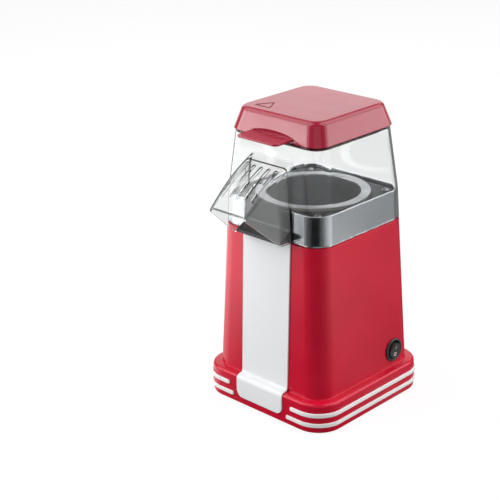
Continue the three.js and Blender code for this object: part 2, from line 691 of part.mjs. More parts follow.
// A cup round the impeller, its floor pierced by four air windows.
function fanHousing() {
  const wall = 2.2;
  const cup = toSolid(turned([
    [0, FAN_FLOOR_Z], [FAN_RADIUS, FAN_FLOOR_Z], [FAN_RADIUS, FAN_TOP_Z],
    [FAN_RADIUS - wall, FAN_TOP_Z], [FAN_RADIUS - wall, FAN_FLOOR_Z + wall], [0, FAN_FLOOR_Z + wall],
  ]));
  const legs = fourCorners(LEG_OFFSET).map(([x, y]) => (
    disc(3.6, COVER_TOP_Z + FIT_GAP, FAN_FLOOR_Z + 1, SMALL_ROUND_STEPS).translate(x, y, 0)
  ));
  const seat = turnedRing([
    [JACKET_RADIUS + FIT_GAP, FAN_TOP_Z - 1], [FAN_RADIUS, FAN_TOP_Z - 1],
    [FAN_RADIUS, FAN_TOP_Z + 4], [JACKET_RADIUS + FIT_GAP, FAN_TOP_Z + 4],
  ]);
  const windows = [];
  for (let quarter = 0; quarter < 4; quarter += 1) {
    const from = quarter * Math.PI / 2 + 0.2;
    const to = (quarter + 1) * Math.PI / 2 - 0.2;
    const window = new THREE.Shape();
    window.absarc(0, 0, 30, from, to, false);
    window.absarc(0, 0, MOTOR_RADIUS + 2, to, from, true);
    windows.push(slab(window, FAN_FLOOR_Z - 5, FAN_FLOOR_Z + 5));
  }
  const shaftHole = disc(4.2, FAN_FLOOR_Z - 5, FAN_FLOOR_Z + 5, 20);
  const screwHoles = [-1, 1].map((side) => (
    disc(1.8, FAN_FLOOR_Z - 5, FAN_FLOOR_Z + 5, SMALL_ROUND_STEPS).translate(side * MOTOR_SCREW_OFFSET, 0, 0)
  ));
  const pegHoles = fourCorners(LEG_OFFSET).map(([x, y]) => (
    disc(2, 0, COVER_TOP_Z + 10, SMALL_ROUND_STEPS).translate(x, y, 0)
  ));
  const legged = joinAll(cup, [...legs, seat]);
  return toGeometry(cutAll(legged, [...windows, shaftHole, ...screwHoles, ...pegHoles]));
}

// A hub and back plate with curved vanes, pressed on the motor's shaft.
function impeller() {
  const plateZ = FAN_FLOOR_Z + 8;
  const vaneTop = plateZ + 14;
  const wheel = toSolid(turned([
    [0, plateZ], [40, plateZ], [40, plateZ + 1.6], [8, plateZ + 1.6], [6, vaneTop], [0, vaneTop],
  ]));
  const vaneCount = 9;
  const vanes = [];
  for (let index = 0; index < vaneCount; index += 1) {
    const outline = new THREE.Shape();
    outline.absarc(22, 0, 20, -Math.PI * 0.97, -Math.PI * 0.28, false);
    outline.absarc(22, 0, 18.6, -Math.PI * 0.28, -Math.PI * 0.97, true);
    const vane = slab(outline, plateZ + 1, vaneTop);
    vanes.push(vane.rotateZ((index / vaneCount) * 2 * Math.PI));
  }
  const bore = disc(SHAFT_RADIUS + 0.3, plateZ - 1, vaneTop + 1, 16);
  const rim = disc(39.5, plateZ - 1, vaneTop + 1);
  const vaned = joinAll(wheel, vanes).intersect(toSolid(rim));
  return toGeometry(cutAll(vaned, [bore]));
}

const MOTOR_TOP_Z = FAN_FLOOR_Z - FIT_GAP;
const MOTOR_FOOT_Z = 20;

function motorCan() {
  const wall = 1.2;
  const can = toSolid(turned([
    [MOTOR_RADIUS - wall, MOTOR_FOOT_Z], [MOTOR_RADIUS, MOTOR_FOOT_Z], [MOTOR_RADIUS, MOTOR_TOP_Z - 1.5],
    [MOTOR_RADIUS - 1.5, MOTOR_TOP_Z], [SHAFT_RADIUS + 0.3, MOTOR_TOP_Z],
    [SHAFT_RADIUS + 0.3, MOTOR_TOP_Z - 3], [MOTOR_RADIUS - wall, MOTOR_TOP_Z - 3],
    [MOTOR_RADIUS - wall, MOTOR_FOOT_Z],
  ], 24));
  const screwHoles = [-1, 1].map((side) => (
    disc(1.8, MOTOR_TOP_Z - 6, MOTOR_TOP_Z + 1, SMALL_ROUND_STEPS).translate(side * MOTOR_SCREW_OFFSET, 0, 0)
  ));
  return toGeometry(cutAll(can, screwHoles));
}

function motorEndCap() {
  const top = MOTOR_FOOT_Z - FIT_GAP;
  const cap = toSolid(disc(MOTOR_RADIUS, top - 3, top, 24));
  const lugs = [-1, 1].map((side) => block(0.8, 3, 6, side * 9, 0, top - 5));
  return toGeometry(cutAll(joinAll(cap, lugs), [disc(SHAFT_RADIUS + 0.3, top - 10, top + 1, 16)]));
}

// The wound rotor and the shaft that carries the impeller.
function motorRotor() {
  return turned([
    [0, MOTOR_FOOT_Z - 2], [SHAFT_RADIUS, MOTOR_FOOT_Z - 2], [SHAFT_RADIUS, 24], [6, 24], [6, 27],
    [11.5, 27], [11.5, 42], [SHAFT_RADIUS, 42], [SHAFT_RADIUS, 73], [1, 73.6], [0, 73.6],
  ], 16);
}

// ---- electrics ----------------------------------------------------------------

const BOARD_X = -30;

function rectifierBoard() {
  return block(1.6, 34, 22, BOARD_X, 0, COVER_TOP_Z + FIT_GAP + 11);
}

function diode(index) {
  const y = -12 + index * 6;
  const body = disc(1.35, -2.6, 2.6, SMALL_ROUND_STEPS);
  return body.translate(BOARD_X - 0.8 - FIT_GAP - 1.35, y, COVER_TOP_Z + 8);
}

function capacitor() {
  const body = disc(4, 0, 9, 16);
  body.rotateY(-Math.PI / 2);
  return body.translate(BOARD_X - 0.8 - FIT_GAP, 0, COVER_TOP_Z + 17);
}

function terminalBlock() {
  const foot = COVER_TOP_Z + FIT_GAP;
  const base = toSolid(block(30, 13, 5, 0, 44, foot + 2.5));
  const towers = [-10, 0, 10].map((x) => block(8, 9, 8, x, 44, foot + 8));
  const ways = [-10, 0, 10].map((x) => {
    const way = disc(1.6, -10, 10, SMALL_ROUND_STEPS);
    way.rotateX(Math.PI / 2);
    return way.translate(x, 44, foot + 8);
  });
  return toGeometry(cutAll(joinAll(base, towers), ways));
}

function lead(points) {
  return tube(points.map(([x, y, z]) => new THREE.Vector3(x, y, z)), 1.1, 20);
}

// ---- assembly -------------------------------------------------------------------

const sideNames = ['right', 'back', 'left', 'front'];
const cornerNames = ['front_right', 'back_right', 'back_left', 'front_left'];

addPiece(machine, 'main_housing', mainHousing(), 'redPlastic');
addPiece(machine, 'front_panel', frontPanel(), 'whitePlastic');
addPiece(machine, 'stripe_lower', plinthStripe('lower'), 'whitePlastic');
addPiece(machine, 'stripe_upper', plinthStripe('upper'), 'whitePlastic');
addPiece(machine, 'bottom_cover', bottomCover(), 'blackPlastic');

cornerNames.forEach((corner, index) => {
  const [x, y] = fourCorners(FOOT_OFFSET)[index];
  addPiece(machine, `foot_${corner}`, rubberFoot(), 'rubber').position.set(x, y, 0);
});

sideNames.forEach((side, index) => {
  const [x, y] = fourSides(BASE_SCREW_OFFSET)[index];
  const piece = addPiece(machine, `base_screw_${side}`, screw(3, 1.2, 1.5, 11), 'steel');
  piece.position.set(x, y, COVER_FOOT_Z - FIT_GAP);
});

addPiece(glandMount, 'cord_gland', cordGland(), 'blackPlastic');
addPiece(switchMount, 'switch_bezel', switchBezel(), 'blackPlastic');
addPiece(switchMount, 'switch_terminal_line', switchTerminal(-1), 'brass');
addPiece(switchMount, 'switch_terminal_load', switchTerminal(1), 'brass');
const rocker = addPiece(switchMount, 'switch_rocker', switchRocker(), 'blackPlastic');
rocker.rotation.y = ROCKER_TILT;

addPiece(machine, 'clear_hood', clearHood(), 'clearPlastic');
addPiece(machine, 'measuring_cap', measuringCap(), 'redPlastic');
addPiece(machine, 'band_ring', bandRing(), 'greyBand');
addPiece(machine, 'outlet_ramp', outletRamp(), 'blackPlastic');
addPiece(machine, 'top_deck', topDeck(), 'blackPlastic');

cornerNames.forEach((corner, index) => {
  const [x, y] = fourCorners(DECK_SCREW_OFFSET)[index];
  const piece = addPiece(machine, `deck_screw_${corner}`, screw(3.2, 1.8, 1.5, 12), 'steel');
  piece.rotation.x = Math.PI;
  piece.position.set(x, y, DECK_TOP_Z + FIT_GAP);
});

addPiece(machine, 'chamber_gasket', chamberGasket(), 'silicone');
addPiece(machine, 'popping_chamber', poppingChamber(), 'aluminium');
addPiece(machine, 'chamber_jacket', chamberJacket(), 'steel');
addPiece(machine, 'mica_cross', micaCross(), 'mica');
addPiece(machine, 'heater_coil', heaterCoil(), 'nichrome');
addPiece(machine, 'thermostat', thermostat(), 'steel');
addPiece(machine, 'thermal_fuse', thermalFuse(), 'steel');

addPiece(machine, 'fan_housing', fanHousing(), 'blackPlastic');
addPiece(machine, 'fan_impeller', impeller(), 'whitePlastic');
addPiece(machine, 'motor_can', motorCan(), 'steel');
addPiece(machine, 'motor_end_cap', motorEndCap(), 'whitePlastic');
addPiece(machine, 'motor_rotor', motorRotor(), 'steel');

[['left', -1], ['right', 1]].forEach(([side, sign]) => {
  const piece = addPiece(machine, `motor_screw_${side}`, screw(2.8, 1.6, 1.5, 6), 'steel');
  piece.rotation.x = Math.PI;
  piece.position.set(sign * MOTOR_SCREW_OFFSET, 0, FAN_FLOOR_Z + 2.2 + FIT_GAP);
});

addPiece(machine, 'rectifier_board', rectifierBoard(), 'circuitBoard');
for (let index = 0; index < 4; index += 1) {
  addPiece(machine, `diode_${index + 1}`, diode(index), 'blackPlastic');
}
addPiece(machine, 'capacitor', capacitor(), 'blackPlastic');
addPiece(machine, 'terminal_block', terminalBlock(), 'whitePlastic');

addPiece(machine, 'lead_gland_to_block', lead([
  [0, 59, 45], [0, 56, 38], [0, 56, 26], [0, 53, 17], [0, 50.2, 14.1],
]), 'blueWire');
addPiece(machine, 'lead_block_to_switch', lead([
  [10, 50.2, 14.1], [18, 55, 20], [32, 52, 32], [42, 42.5, 44],
]), 'redWire');

export default machine;
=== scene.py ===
"""A hot-air popcorn maker on a pale studio floor: moulded red housing, clear
hood with a spout, red measuring cap, grey band and the works inside.

Lengths in the shape code are millimetres from the tower's axis; mesh_piece()
turns them into metres in the frame's own place."""

import math

import bmesh
import bpy
from mathutils import Matrix, Vector


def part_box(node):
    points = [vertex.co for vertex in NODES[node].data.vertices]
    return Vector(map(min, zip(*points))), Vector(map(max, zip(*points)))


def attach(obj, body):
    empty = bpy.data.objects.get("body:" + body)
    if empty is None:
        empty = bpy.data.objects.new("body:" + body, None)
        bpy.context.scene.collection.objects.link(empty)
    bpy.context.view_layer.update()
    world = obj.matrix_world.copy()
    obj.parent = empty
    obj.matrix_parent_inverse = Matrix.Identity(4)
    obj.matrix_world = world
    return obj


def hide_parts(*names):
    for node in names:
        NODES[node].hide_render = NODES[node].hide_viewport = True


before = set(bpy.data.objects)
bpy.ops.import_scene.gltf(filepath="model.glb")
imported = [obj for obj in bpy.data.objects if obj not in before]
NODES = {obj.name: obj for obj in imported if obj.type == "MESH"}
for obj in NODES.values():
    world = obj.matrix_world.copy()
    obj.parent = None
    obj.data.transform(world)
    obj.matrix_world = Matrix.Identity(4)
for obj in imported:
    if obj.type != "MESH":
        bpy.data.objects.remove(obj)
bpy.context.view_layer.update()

MM = 0.001
MICRON = 0.000001
TURN = 2 * math.pi
QUARTER = math.pi / 2
CORNERS = ("front_right", "back_right", "back_left", "front_left")

housing_low, housing_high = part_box("main_housing")
AXIS = Vector(((housing_low.x + housing_high.x) / 2, (housing_low.y + housing_high.y) / 2, 0))


def box_mm(node):
    """Lowest and highest corners of a CAD node, in millimetres from the tower's axis."""
    low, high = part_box(node)
    return (low - AXIS) / MM, (high - AXIS) / MM


# ---- sizes that the shapes share, in millimetres ----

housing_foot, housing_top = box_mm("main_housing")
hood_foot, hood_top = box_mm("clear_hood")
cap_foot, cap_top = box_mm("measuring_cap")

PLINTH_HALF = housing_top.x
PLINTH_CORNER = 26
RIM_DROP = 0.8
PLINTH_RIM_Z = housing_foot.z - RIM_DROP
PLINTH_TOP_Z = 29
BODY_TOP_Z = 178
BODY_TOP_HALF = 63.4
BODY_FOOT_HALF = 69.4
BODY_CORNER = 20
SHELL_WALL = 2.5
SEAM_TALL = 1.1
SEAM_DEEP = 1.9
FLANGE_HALF = 50
HOOD_FOOT_Z = hood_foot.z
BAND_TOP_Z = box_mm("band_ring")[1].z
SHOULDER_Z = 268.2
NECK_TOP_Z = hood_top.z
SPOUT_TIP_Y = hood_foot.y
SPOUT_LIP_Y = -77
CAP_FOOT_Z = 268.5
CAP_TOP_Z = cap_top.z
CUP_FOOT_Z = cap_foot.z
TAB_TIP_Y = cap_foot.y
CHAMBER_RADIUS = 45.2
DECK_HOLE_RADIUS = 47.5
CORNER_STEPS = 14
FILLET_STEPS = 5
TURNED_FILLET_STEPS = 4
LONGEST_ROUND = 0.49  # as a share of the side that it runs along
BODY_LEAN = (BODY_FOOT_HALF - BODY_TOP_HALF) / (BODY_TOP_Z - PLINTH_TOP_Z)
BODY_LEAN_ANGLE = math.atan(BODY_LEAN)


def body_half(z):
    """Half the tower's width at a height."""
    return BODY_FOOT_HALF - BODY_LEAN * (z - PLINTH_TOP_Z)


# ---- materials ----


def set_inputs(node, values):
    """Sets a node's inputs by name or number."""
    for name, value in values.items():
        node.inputs[name].default_value = value


class Look:
    """A material being built: its main shader and its node tree."""

    def __init__(self, name):
        self.material = bpy.data.materials.new(name)
        self.material.use_nodes = True
        self.nodes = self.material.node_tree.nodes
        self.link = self.material.node_tree.links.new
        self.shader = self.nodes["Principled BSDF"]
        self.result = self.nodes["Material Output"]

    def node(self, kind, values=None, operation=None):
        node = self.nodes.new(f"ShaderNode{kind}")
        if operation:
            node.operation = operation
        set_inputs(node, values or {})
        return node

    def noise(self, scale, detail=2.0, stretch=(1, 1, 1)):
        """Noise laid over the piece in its own coordinates."""
        place = self.node("TexCoord")
        mapping = self.node("Mapping", {"Scale": stretch})
        noise = self.node("TexNoise", {"Scale": scale, "Detail": detail})
        self.link(place.outputs["Object"], mapping.inputs["Vector"])
        self.link(mapping.outputs["Vector"], noise.inputs["Vector"])
        return noise.outputs["Fac"]

    def tint(self, noise, low, high):
        """Lets a noise blend the base colour between two colours."""
        ramp = self.node("ValToRGB")
        for stop, place_on_ramp, colour in zip(ramp.color_ramp.elements, (0.35, 0.65), (low, high)):
            stop.position = place_on_ramp
            stop.color = (*colour, 1)
        self.link(noise, ramp.inputs["Fac"])
        self.link(ramp.outputs["Color"], self.shader.inputs["Base Color"])

    def gloss(self, noise, low, high):
        """Lets a noise vary the roughness between two values."""
        spread = self.node("MapRange", {
            "From Min": 0.3, "From Max": 0.7, "To Min": low, "To Max": high,
        })
        self.link(noise, spread.inputs["Value"])
        self.link(spread.outputs["Result"], self.shader.inputs["Roughness"])

    def bump(self, noise, microns, strength=1.0):
        """Lets a noise dent the surface by this many thousandths of a millimetre."""
        bump = self.node("Bump", {"Strength": strength, "Distance": microns * MICRON})
        self.link(noise, bump.inputs["Height"])
        self.link(bump.outputs["Normal"], self.shader.inputs["Normal"])


def shaded(colour, factor):
    return tuple(min(1.0, channel * factor) for channel in colour)


def moulded_plastic(name, colour, roughness, grain=4, coat=0.0, spread=0.06, pearl=0.0,
                    gloss_scale=55):
    """Pigmented moulding: faint colour drift, uneven gloss and a fine skin. Pearl
    pigment makes part of its reflection take the plastic's colour."""
    drift_scale, skin_scale = 14, 900
    look = Look(name)
    look.tint(look.noise(drift_scale), shaded(colour, 1 - spread), shaded(colour, 1 + spread))
    look.gloss(look.noise(gloss_scale, 4), roughness * 0.85, roughness * 1.15)
    look.bump(look.noise(skin_scale, 3), grain)
    set_inputs(look.shader, {"Metallic": pearl, "Coat Weight": coat, "Coat Roughness": 0.08})
    return look.material


def worked_metal(name, colour, roughness, stretch=(1, 1, 1), scale=300):
    """Metal with a drawn or brushed grain along the directions of low stretch."""
    drift_scale, grain_depth = 20, 6
    look = Look(name)
    set_inputs(look.shader, {"Metallic": 1.0})
    look.tint(look.noise(drift_scale), shaded(colour, 0.93), shaded(colour, 1.05))
    grain = look.noise(scale, 5, stretch)
    look.gloss(grain, roughness * 0.75, roughness * 1.3)
    look.bump(grain, grain_depth)
    return look.material


def clear_plastic(name, clarity, smoothest, roughest):
    """Clear polycarbonate with a few faint flow marks, darker where it is looked
    through edgewise. Less clarity gives it a milky haze."""
    look = Look(name)
    set_inputs(look.shader, {
        "Base Color": (0.965, 0.975, 0.97, 1), "Transmission Weight": clarity, "IOR": 1.49,
    })
    flow = look.noise(26, 2, (1, 1, 0.4))
    look.gloss(flow, smoothest, roughest)
    look.bump(flow, 40, 0.35)
    absorption = look.node("VolumeAbsorption", {"Color": (0.70, 0.75, 0.76, 1), "Density": 40})
    look.link(absorption.outputs["Volume"], look.result.inputs["Volume"])
    return look.material


def speckled(name, low, high, roughness, scale):
    """Layered or filled material, such as mica or a circuit board."""
    look = Look(name)
    fleck = look.noise(scale, 6)
    look.tint(fleck, low, high)
    set_inputs(look.shader, {"Roughness": roughness})
    look.bump(fleck, 20)
    return look.material


RED = moulded_plastic("red_moulding", (0.61, 0.005, 0.031), 0.21, grain=2.5, pearl=0.08)
# The cap's own red, made darker than the housing's red: the extra darkness is painted shade for the
# weak light on the cap's top.
SHADED_CAP_RED = moulded_plastic("red_cap_painted_shade", (0.385, 0.006, 0.036), 0.22, grain=2.5, coat=0.5)
WHITE = moulded_plastic("white_moulding", (0.845, 0.865, 0.88), 0.32, grain=3, spread=0.01,
                        gloss_scale=61)
STRIPE_WHITE = moulded_plastic("stripe_white", (0.90, 0.885, 0.88), 0.35, spread=0.01)
CLEAR = clear_plastic("clear_polycarbonate", 1.0, 0.01, 0.05)
HAZY_CLEAR = clear_plastic("spout_polycarbonate", 0.94, 0.03, 0.09)
BLACK = moulded_plastic("black_moulding", (0.018, 0.019, 0.021), 0.42, grain=20)
SWITCH_BLACK = moulded_plastic("switch_nylon", (0.037, 0.041, 0.042), 0.33, grain=8)
BAND = worked_metal("band_metal", (0.60, 0.62, 0.655), 0.10, (1, 1, 30), 60)
ALUMINIUM = worked_metal("drawn_aluminium", (0.58, 0.59, 0.61), 0.36, (1, 1, 24), 60)
STEEL = worked_metal("plated_steel", (0.56, 0.57, 0.58), 0.32)
RUBBER = moulded_plastic("foot_rubber", (0.022, 0.022, 0.023), 0.85, grain=40)
SILICONE = moulded_plastic("gasket_silicone", (0.48, 0.46, 0.42), 0.7, grain=20)
MICA = speckled("mica_sheet", (0.36, 0.26, 0.12), (0.62, 0.50, 0.30), 0.5, 160)
NICHROME = worked_metal("resistance_wire", (0.20, 0.18, 0.17), 0.45)
BRASS = worked_metal("stamped_brass", (0.66, 0.46, 0.17), 0.3)
NYLON = moulded_plastic("natural_nylon", (0.68, 0.66, 0.58), 0.45)
BOARD = speckled("solder_mask", (0.02, 0.11, 0.04), (0.03, 0.15, 0.06), 0.35, 90)
EPOXY = moulded_plastic("moulded_epoxy", (0.020, 0.020, 0.022), 0.5)
WIRE_BLUE = moulded_plastic("blue_insulation", (0.02, 0.08, 0.36), 0.45)
WIRE_RED = moulded_plastic("red_insulation", (0.42, 0.02, 0.03), 0.45)
MARK_WHITE = moulded_plastic("switch_print", (0.70, 0.71, 0.68), 0.5)
PRINT_DARK = moulded_plastic("lid_print", (0.16, 0.012, 0.018), 0.45)

# ---- mesh helpers ----


def add_object(name, data):
    """A new object, linked into the scene."""
    made = bpy.data.objects.new(name, data)
    bpy.context.scene.collection.objects.link(made)
    return made


def mesh_object(name, vertices, faces, material):
    """A mesh from corners in the frame's own metres."""
    mesh = bpy.data.meshes.new(name)
    mesh.from_pydata(vertices, [], faces)
    mesh.materials.append(material)
    return add_object(name, mesh)


def mesh_piece(name, vertices, faces, material):
    """A mesh from millimetre corners, its faces turned outwards."""
    in_place = [AXIS + Vector(vertex) * MM for vertex in vertices]
    piece = mesh_object(name, in_place, faces, material)
    builder = bmesh.new()
    builder.from_mesh(piece.data)
    bmesh.ops.remove_doubles(builder, verts=builder.verts, dist=1e-7)
    bmesh.ops.recalc_face_normals(builder, faces=builder.faces)
    builder.to_mesh(piece.data)
    builder.free()
    return piece


def smooth(piece, angle):
    """Smooth shading that keeps hard edges and flat faces true."""
    mesh = piece.data
    builder = bmesh.new()
    builder.from_mesh(mesh)
    limit = math.radians(angle)
    for edge in builder.edges:
        edge.smooth = len(edge.link_faces) == 2 and edge.calc_face_angle(0) < limit
    for face in builder.faces:
        face.smooth = True
    builder.to_mesh(mesh)
    builder.free()
    weighting = piece.modifiers.new("flat_faces", "WEIGHTED_NORMAL")
    weighting.keep_sharp = True
    weighting.weight = 80


def apply_modifiers(piece):
    depsgraph = bpy.context.evaluated_depsgraph_get()
    made = bpy.data.meshes.new_from_object(piece.evaluated_get(depsgraph), depsgraph=depsgraph)
    piece.modifiers.clear()
    old = piece.data
    piece.data = made
    made.name = piece.name
    bpy.data.meshes.remove(old)
    return piece


def combine(piece, other, operation):
    """Joins or cuts with another piece, which is used up."""
    modifier = piece.modifiers.new("combine", "BOOLEAN")
    modifier.operation = operation
    modifier.solver = "EXACT"
    modifier.object = other
    bpy.context.view_layer.update()
    apply_modifiers(piece)
    bpy.data.objects.remove(other, do_unlink=True)


def cut(piece, *others):
    for other in others:
        combine(piece, other, "DIFFERENCE")
    return piece


def bevel(piece, width, segments=2, angle=30):
    """Rounds the hard edges, width in millimetres."""
    modifier = piece.modifiers.new("edges", "BEVEL")
    modifier.width = width * MM
    modifier.segments = segments
    modifier.limit_method = "ANGLE"
    modifier.angle_limit = math.radians(angle)
    return apply_modifiers(piece)


def bridge_faces(rows, columns, wrap_rows=False, wrap_columns=True):
    """Quads between neighbouring rows of a grid of points."""
    faces = []
    for row in range(rows if wrap_rows else rows - 1):
        after = (row + 1) % rows
        for column in range(columns if wrap_columns else columns - 1):
            beside = (column + 1) % columns
            faces.append((
                row * columns + column, row * columns + beside,
                after * columns + beside, after * columns + column,
            ))
    return faces


def close_at_hub(vertices, faces, hub_point, row, columns):
    """Closes a row of points with triangles to one more point."""
    vertices.append(hub_point)
    hub, first = len(vertices) - 1, row * columns
    faces += [(hub, first + step, first + (step + 1) % columns) for step in range(columns)]


def loft(name, sections, material, ring=False):
    """A skin over sections of equal length: a closed ring, or capped at both ends."""
    rows, columns = len(sections), len(sections[0])
    faces = bridge_faces(rows, columns, wrap_rows=ring)
    if not ring:
        faces.append(tuple(range(columns)))
        faces.append(tuple((rows - 1) * columns + column for column in range(columns)))
    return mesh_piece(name, [point for section in sections for point in section], faces, material)


def square_section(half, corner, z):
    points = []
    for quarter in range(4):
        turn = Matrix.Rotation(quarter * QUARTER, 3, "Z")
        centre = turn @ Vector((half - corner, half - corner, z))
        for step in range(CORNER_STEPS + 1):
            angle = (quarter + step / CORNER_STEPS) * QUARTER
            points.append(centre + corner * Vector((math.cos(angle), math.sin(angle), 0)))
    return points


def filleted(corners, closed=True, steps=FILLET_STEPS):
    """Rounds a path. Each corner is its place, which may have more than two
    numbers, and then how far the round reaches along its two sides."""
    path = []
    count = len(corners)
    for index, corner in enumerate(corners):
        here, reach = Vector(corner[:-1]), corner[-1]
        at_end = not closed and index in (0, count - 1)
        if reach <= 0 or at_end:
            path.append(here)
            continue
        before = Vector(corners[index - 1][:-1]) - here
        after = Vector(corners[(index + 1) % count][:-1]) - here
        start = here + before * min(LONGEST_ROUND, reach / before.xy.length)
        end = here + after * min(LONGEST_ROUND, reach / after.xy.length)
        for step in range(steps + 1):
            t = step / steps
            path.append((1 - t) ** 2 * start + 2 * t * (1 - t) * here + t ** 2 * end)
    return path


def square_loft(name, corners, material, ring=True, steps=FILLET_STEPS):
    """A rounded-square shell or solid. Each corner is (z, half, corner radius, reach)."""
    path = filleted(corners, closed=ring, steps=steps)
    return loft(name, [square_section(half, corner, z) for z, half, corner in path], material, ring)


def arc(start, sweep, steps):
    """Angles along an arc, with both its ends."""
    return [start + step / steps * sweep for step in range(steps + 1)]


def circle(radius, steps, z=0.0):
    """Points round the tower's axis."""
    angles = [step / steps * TURN for step in range(steps)]
    return [(radius * math.cos(angle), radius * math.sin(angle), z) for angle in angles]


def turned(name, profile, material, steps=64):
    """A turned piece about the tower's axis, from (radius, z) corners. A profile
    that ends on the axis is solid; any other one closes on itself."""
    on_axis = profile[0][0] == 0 and profile[-1][0] == 0
    rows = profile[1:-1] if on_axis else profile
    vertices = [point for radius, z in rows for point in circle(radius, steps, z)]
    faces = bridge_faces(len(rows), steps, wrap_rows=not on_axis)
    if on_axis:
        for end, row in ((profile[0], 0), (profile[-1], len(rows) - 1)):
            close_at_hub(vertices, faces, (0, 0, end[1]), row, steps)
    return mesh_piece(name, vertices, faces, material)


def rounded_turning(name, corners, material, steps=64):
    """A turned piece whose corners are (radius, z, reach)."""
    closed = not (corners[0][0] == 0 and corners[-1][0] == 0)
    path = filleted(corners, closed=closed, steps=TURNED_FILLET_STEPS)
    return turned(name, [(point[0], point[1]) for point in path], material, steps)


def drill(name, radius, foot, top, material, steps=64):
    """A plain cylinder on the tower's axis, to cut a round hole."""
    return turned(name, [(0, foot), (radius, foot), (radius, top), (0, top)], material, steps)


def block(name, low, high, material):
    corners = [(x, y, z) for x in (low[0], high[0]) for y in (low[1], high[1])
               for z in (low[2], high[2])]
    faces = [(0, 1, 3, 2), (4, 6, 7, 5), (0, 4, 5, 1), (2, 3, 7, 6), (0, 2, 6, 4), (1, 5, 7, 3)]
    return mesh_piece(name, corners, faces, material)


def capsule_outline(length, width):
    """A slot's outline along X, as (along, across, outward along, outward across)."""
    end_steps, side_steps = 8, 10
    reach = (length - width) / 2
    points = []
    for side, start in ((1, -QUARTER), (-1, QUARTER)):
        for angle in arc(start, math.pi, end_steps):
            out_along, out_across = math.cos(angle), math.sin(angle)
            points.append((
                side * reach + width / 2 * out_along, width / 2 * out_across,
                out_along, out_across,
            ))
        for step in range(1, side_steps):
            along = side * reach * (1 - 2 * step / side_steps)
            points.append((along, side * width / 2, 0, side))
    return points


def move_mesh(piece, matrix):
    """Moves a piece's points by a matrix given in millimetres from the tower's axis."""
    to_mm = Matrix.Scale(1 / MM, 4) @ Matrix.Translation(-AXIS)
    piece.data.transform(to_mm.inverted() @ matrix @ to_mm)
    return piece


def put_on(piece, body, node=None, angle=35):
    """Smooths a piece and puts it on its body, in place of its CAD node if it has one."""
    smooth(piece, angle)
    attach(piece, body)
    if node:
        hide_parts(node)


def over_node(node, z=0):
    """Moves to the upright line through the middle of a CAD node."""
    low, high = box_mm(node)
    return Matrix.Translation(((low.x + high.x) / 2, (low.y + high.y) / 2, z))


def wall_frame(quarter_turns, along, z):
    """Stands on the leaning wall: local Z points out of it and local X down."""
    turn = Matrix.Rotation(quarter_turns * QUARTER, 4, "Z")
    tilt = Matrix.Rotation(QUARTER - BODY_LEAN_ANGLE, 4, "Y")
    return turn @ Matrix.Translation((body_half(z), along, z)) @ tilt


SWITCH_FRAME = wall_frame(0, along=38.6, z=46.8)
GLAND_FRAME = wall_frame(1, along=0, z=46)

# ---- camera, floor and light ----


def direction_to(azimuth, elevation):
    """From the machine: azimuth is in radians from the front, towards +X."""
    return Vector((
        math.sin(azimuth) * math.cos(elevation), -math.cos(azimuth) * math.cos(elevation),
        math.sin(elevation),
    ))


def photo_camera():
    """A long lens that looks down on the front right corner."""
    azimuth, elevation, roll = (math.radians(angle) for angle in (44.55, 21.89, -1.29))
    distance, aside, lift, target_z = 1.25052, 0.06063, 0.00079, 0.145
    back = direction_to(azimuth, elevation)
    right = Vector((math.cos(azimuth), math.sin(azimuth), 0))
    up = back.cross(right)
    position = AXIS + Vector((0, 0, target_z)) + back * distance - right * aside + up * lift
    turned_right = right * math.cos(roll) + up * math.sin(roll)
    turned_up = -right * math.sin(roll) + up * math.cos(roll)
    facing = Matrix((turned_right, turned_up, back)).transposed().to_4x4()
    data = bpy.data.cameras.new("photo_camera")
    data.lens = 93.99
    data.sensor_width = 36
    data.clip_end = 50
    camera = add_object("photo_camera", data)
    camera.matrix_world = Matrix.Translation(position) @ facing
    bpy.context.scene.camera = camera


# Softboxes that face the machine: azimuth and elevation in degrees, distance, width
# and height in metres, power in watts, and whether reflections show them.
SOFT_LIGHTS = {
    "left_strip": (-45, 12, 1.5, 1.0, 0.27, 4.4, True),
    "right_strip": (135, 12, 1.5, 1.3, 0.27, 3.2, True),
    "left_softbox": (-45, 48, 1.8, 2.0, 2.0, 22, True),
    "right_softbox": (135, 48, 1.8, 2.0, 2.0, 22, True),
    "left_fill": (-45, 25, 1.6, 1.5, 0.8, 8.6, False),
    "right_fill": (135, 25, 1.6, 1.5, 0.8, 8.4, False),
    "front_softbox": (45, 16, 2.2, 2.0, 1.2, 3.6, True),
    "back_softbox": (225, 22, 2.4, 2.4, 1.2, 8, True),
}
LIGHT_AIM_Z = 0.15


def soft_light(name, azimuth, elevation, distance, width, height, power, in_gloss):
    """A softbox that faces the middle of the machine."""
    data = bpy.data.lights.new(name, "AREA")
    data.shape = "RECTANGLE"
    data.size = width
    data.size_y = height
    data.energy = power
    lamp = add_object(name, data)
    direction = direction_to(math.radians(azimuth), math.radians(elevation))
    lamp.location = AXIS + Vector((0, 0, LIGHT_AIM_Z)) + direction * distance
    lamp.rotation_euler = direction.to_track_quat("Z", "Y").to_euler()
    lamp.visible_camera = False
    lamp.visible_glossy = in_gloss


# What gloss sees on the floor round the machine: degrees from +X and radiance.
TABLE_GLOW = {
    -180: 1.0, -150: 2.4, -133: 2.6, -127: 0.95, -122: 0.5, -104: 0.16, -70: 0.012, -42: 0.02,
    -18: 0.22, 10: 0.8, 26: 1.0, 36: 0.8, 44: 0.5, 78: 0.12, 110: 0.25, 134: 0.1, 160: 0.3,
    180: 1.0,
}


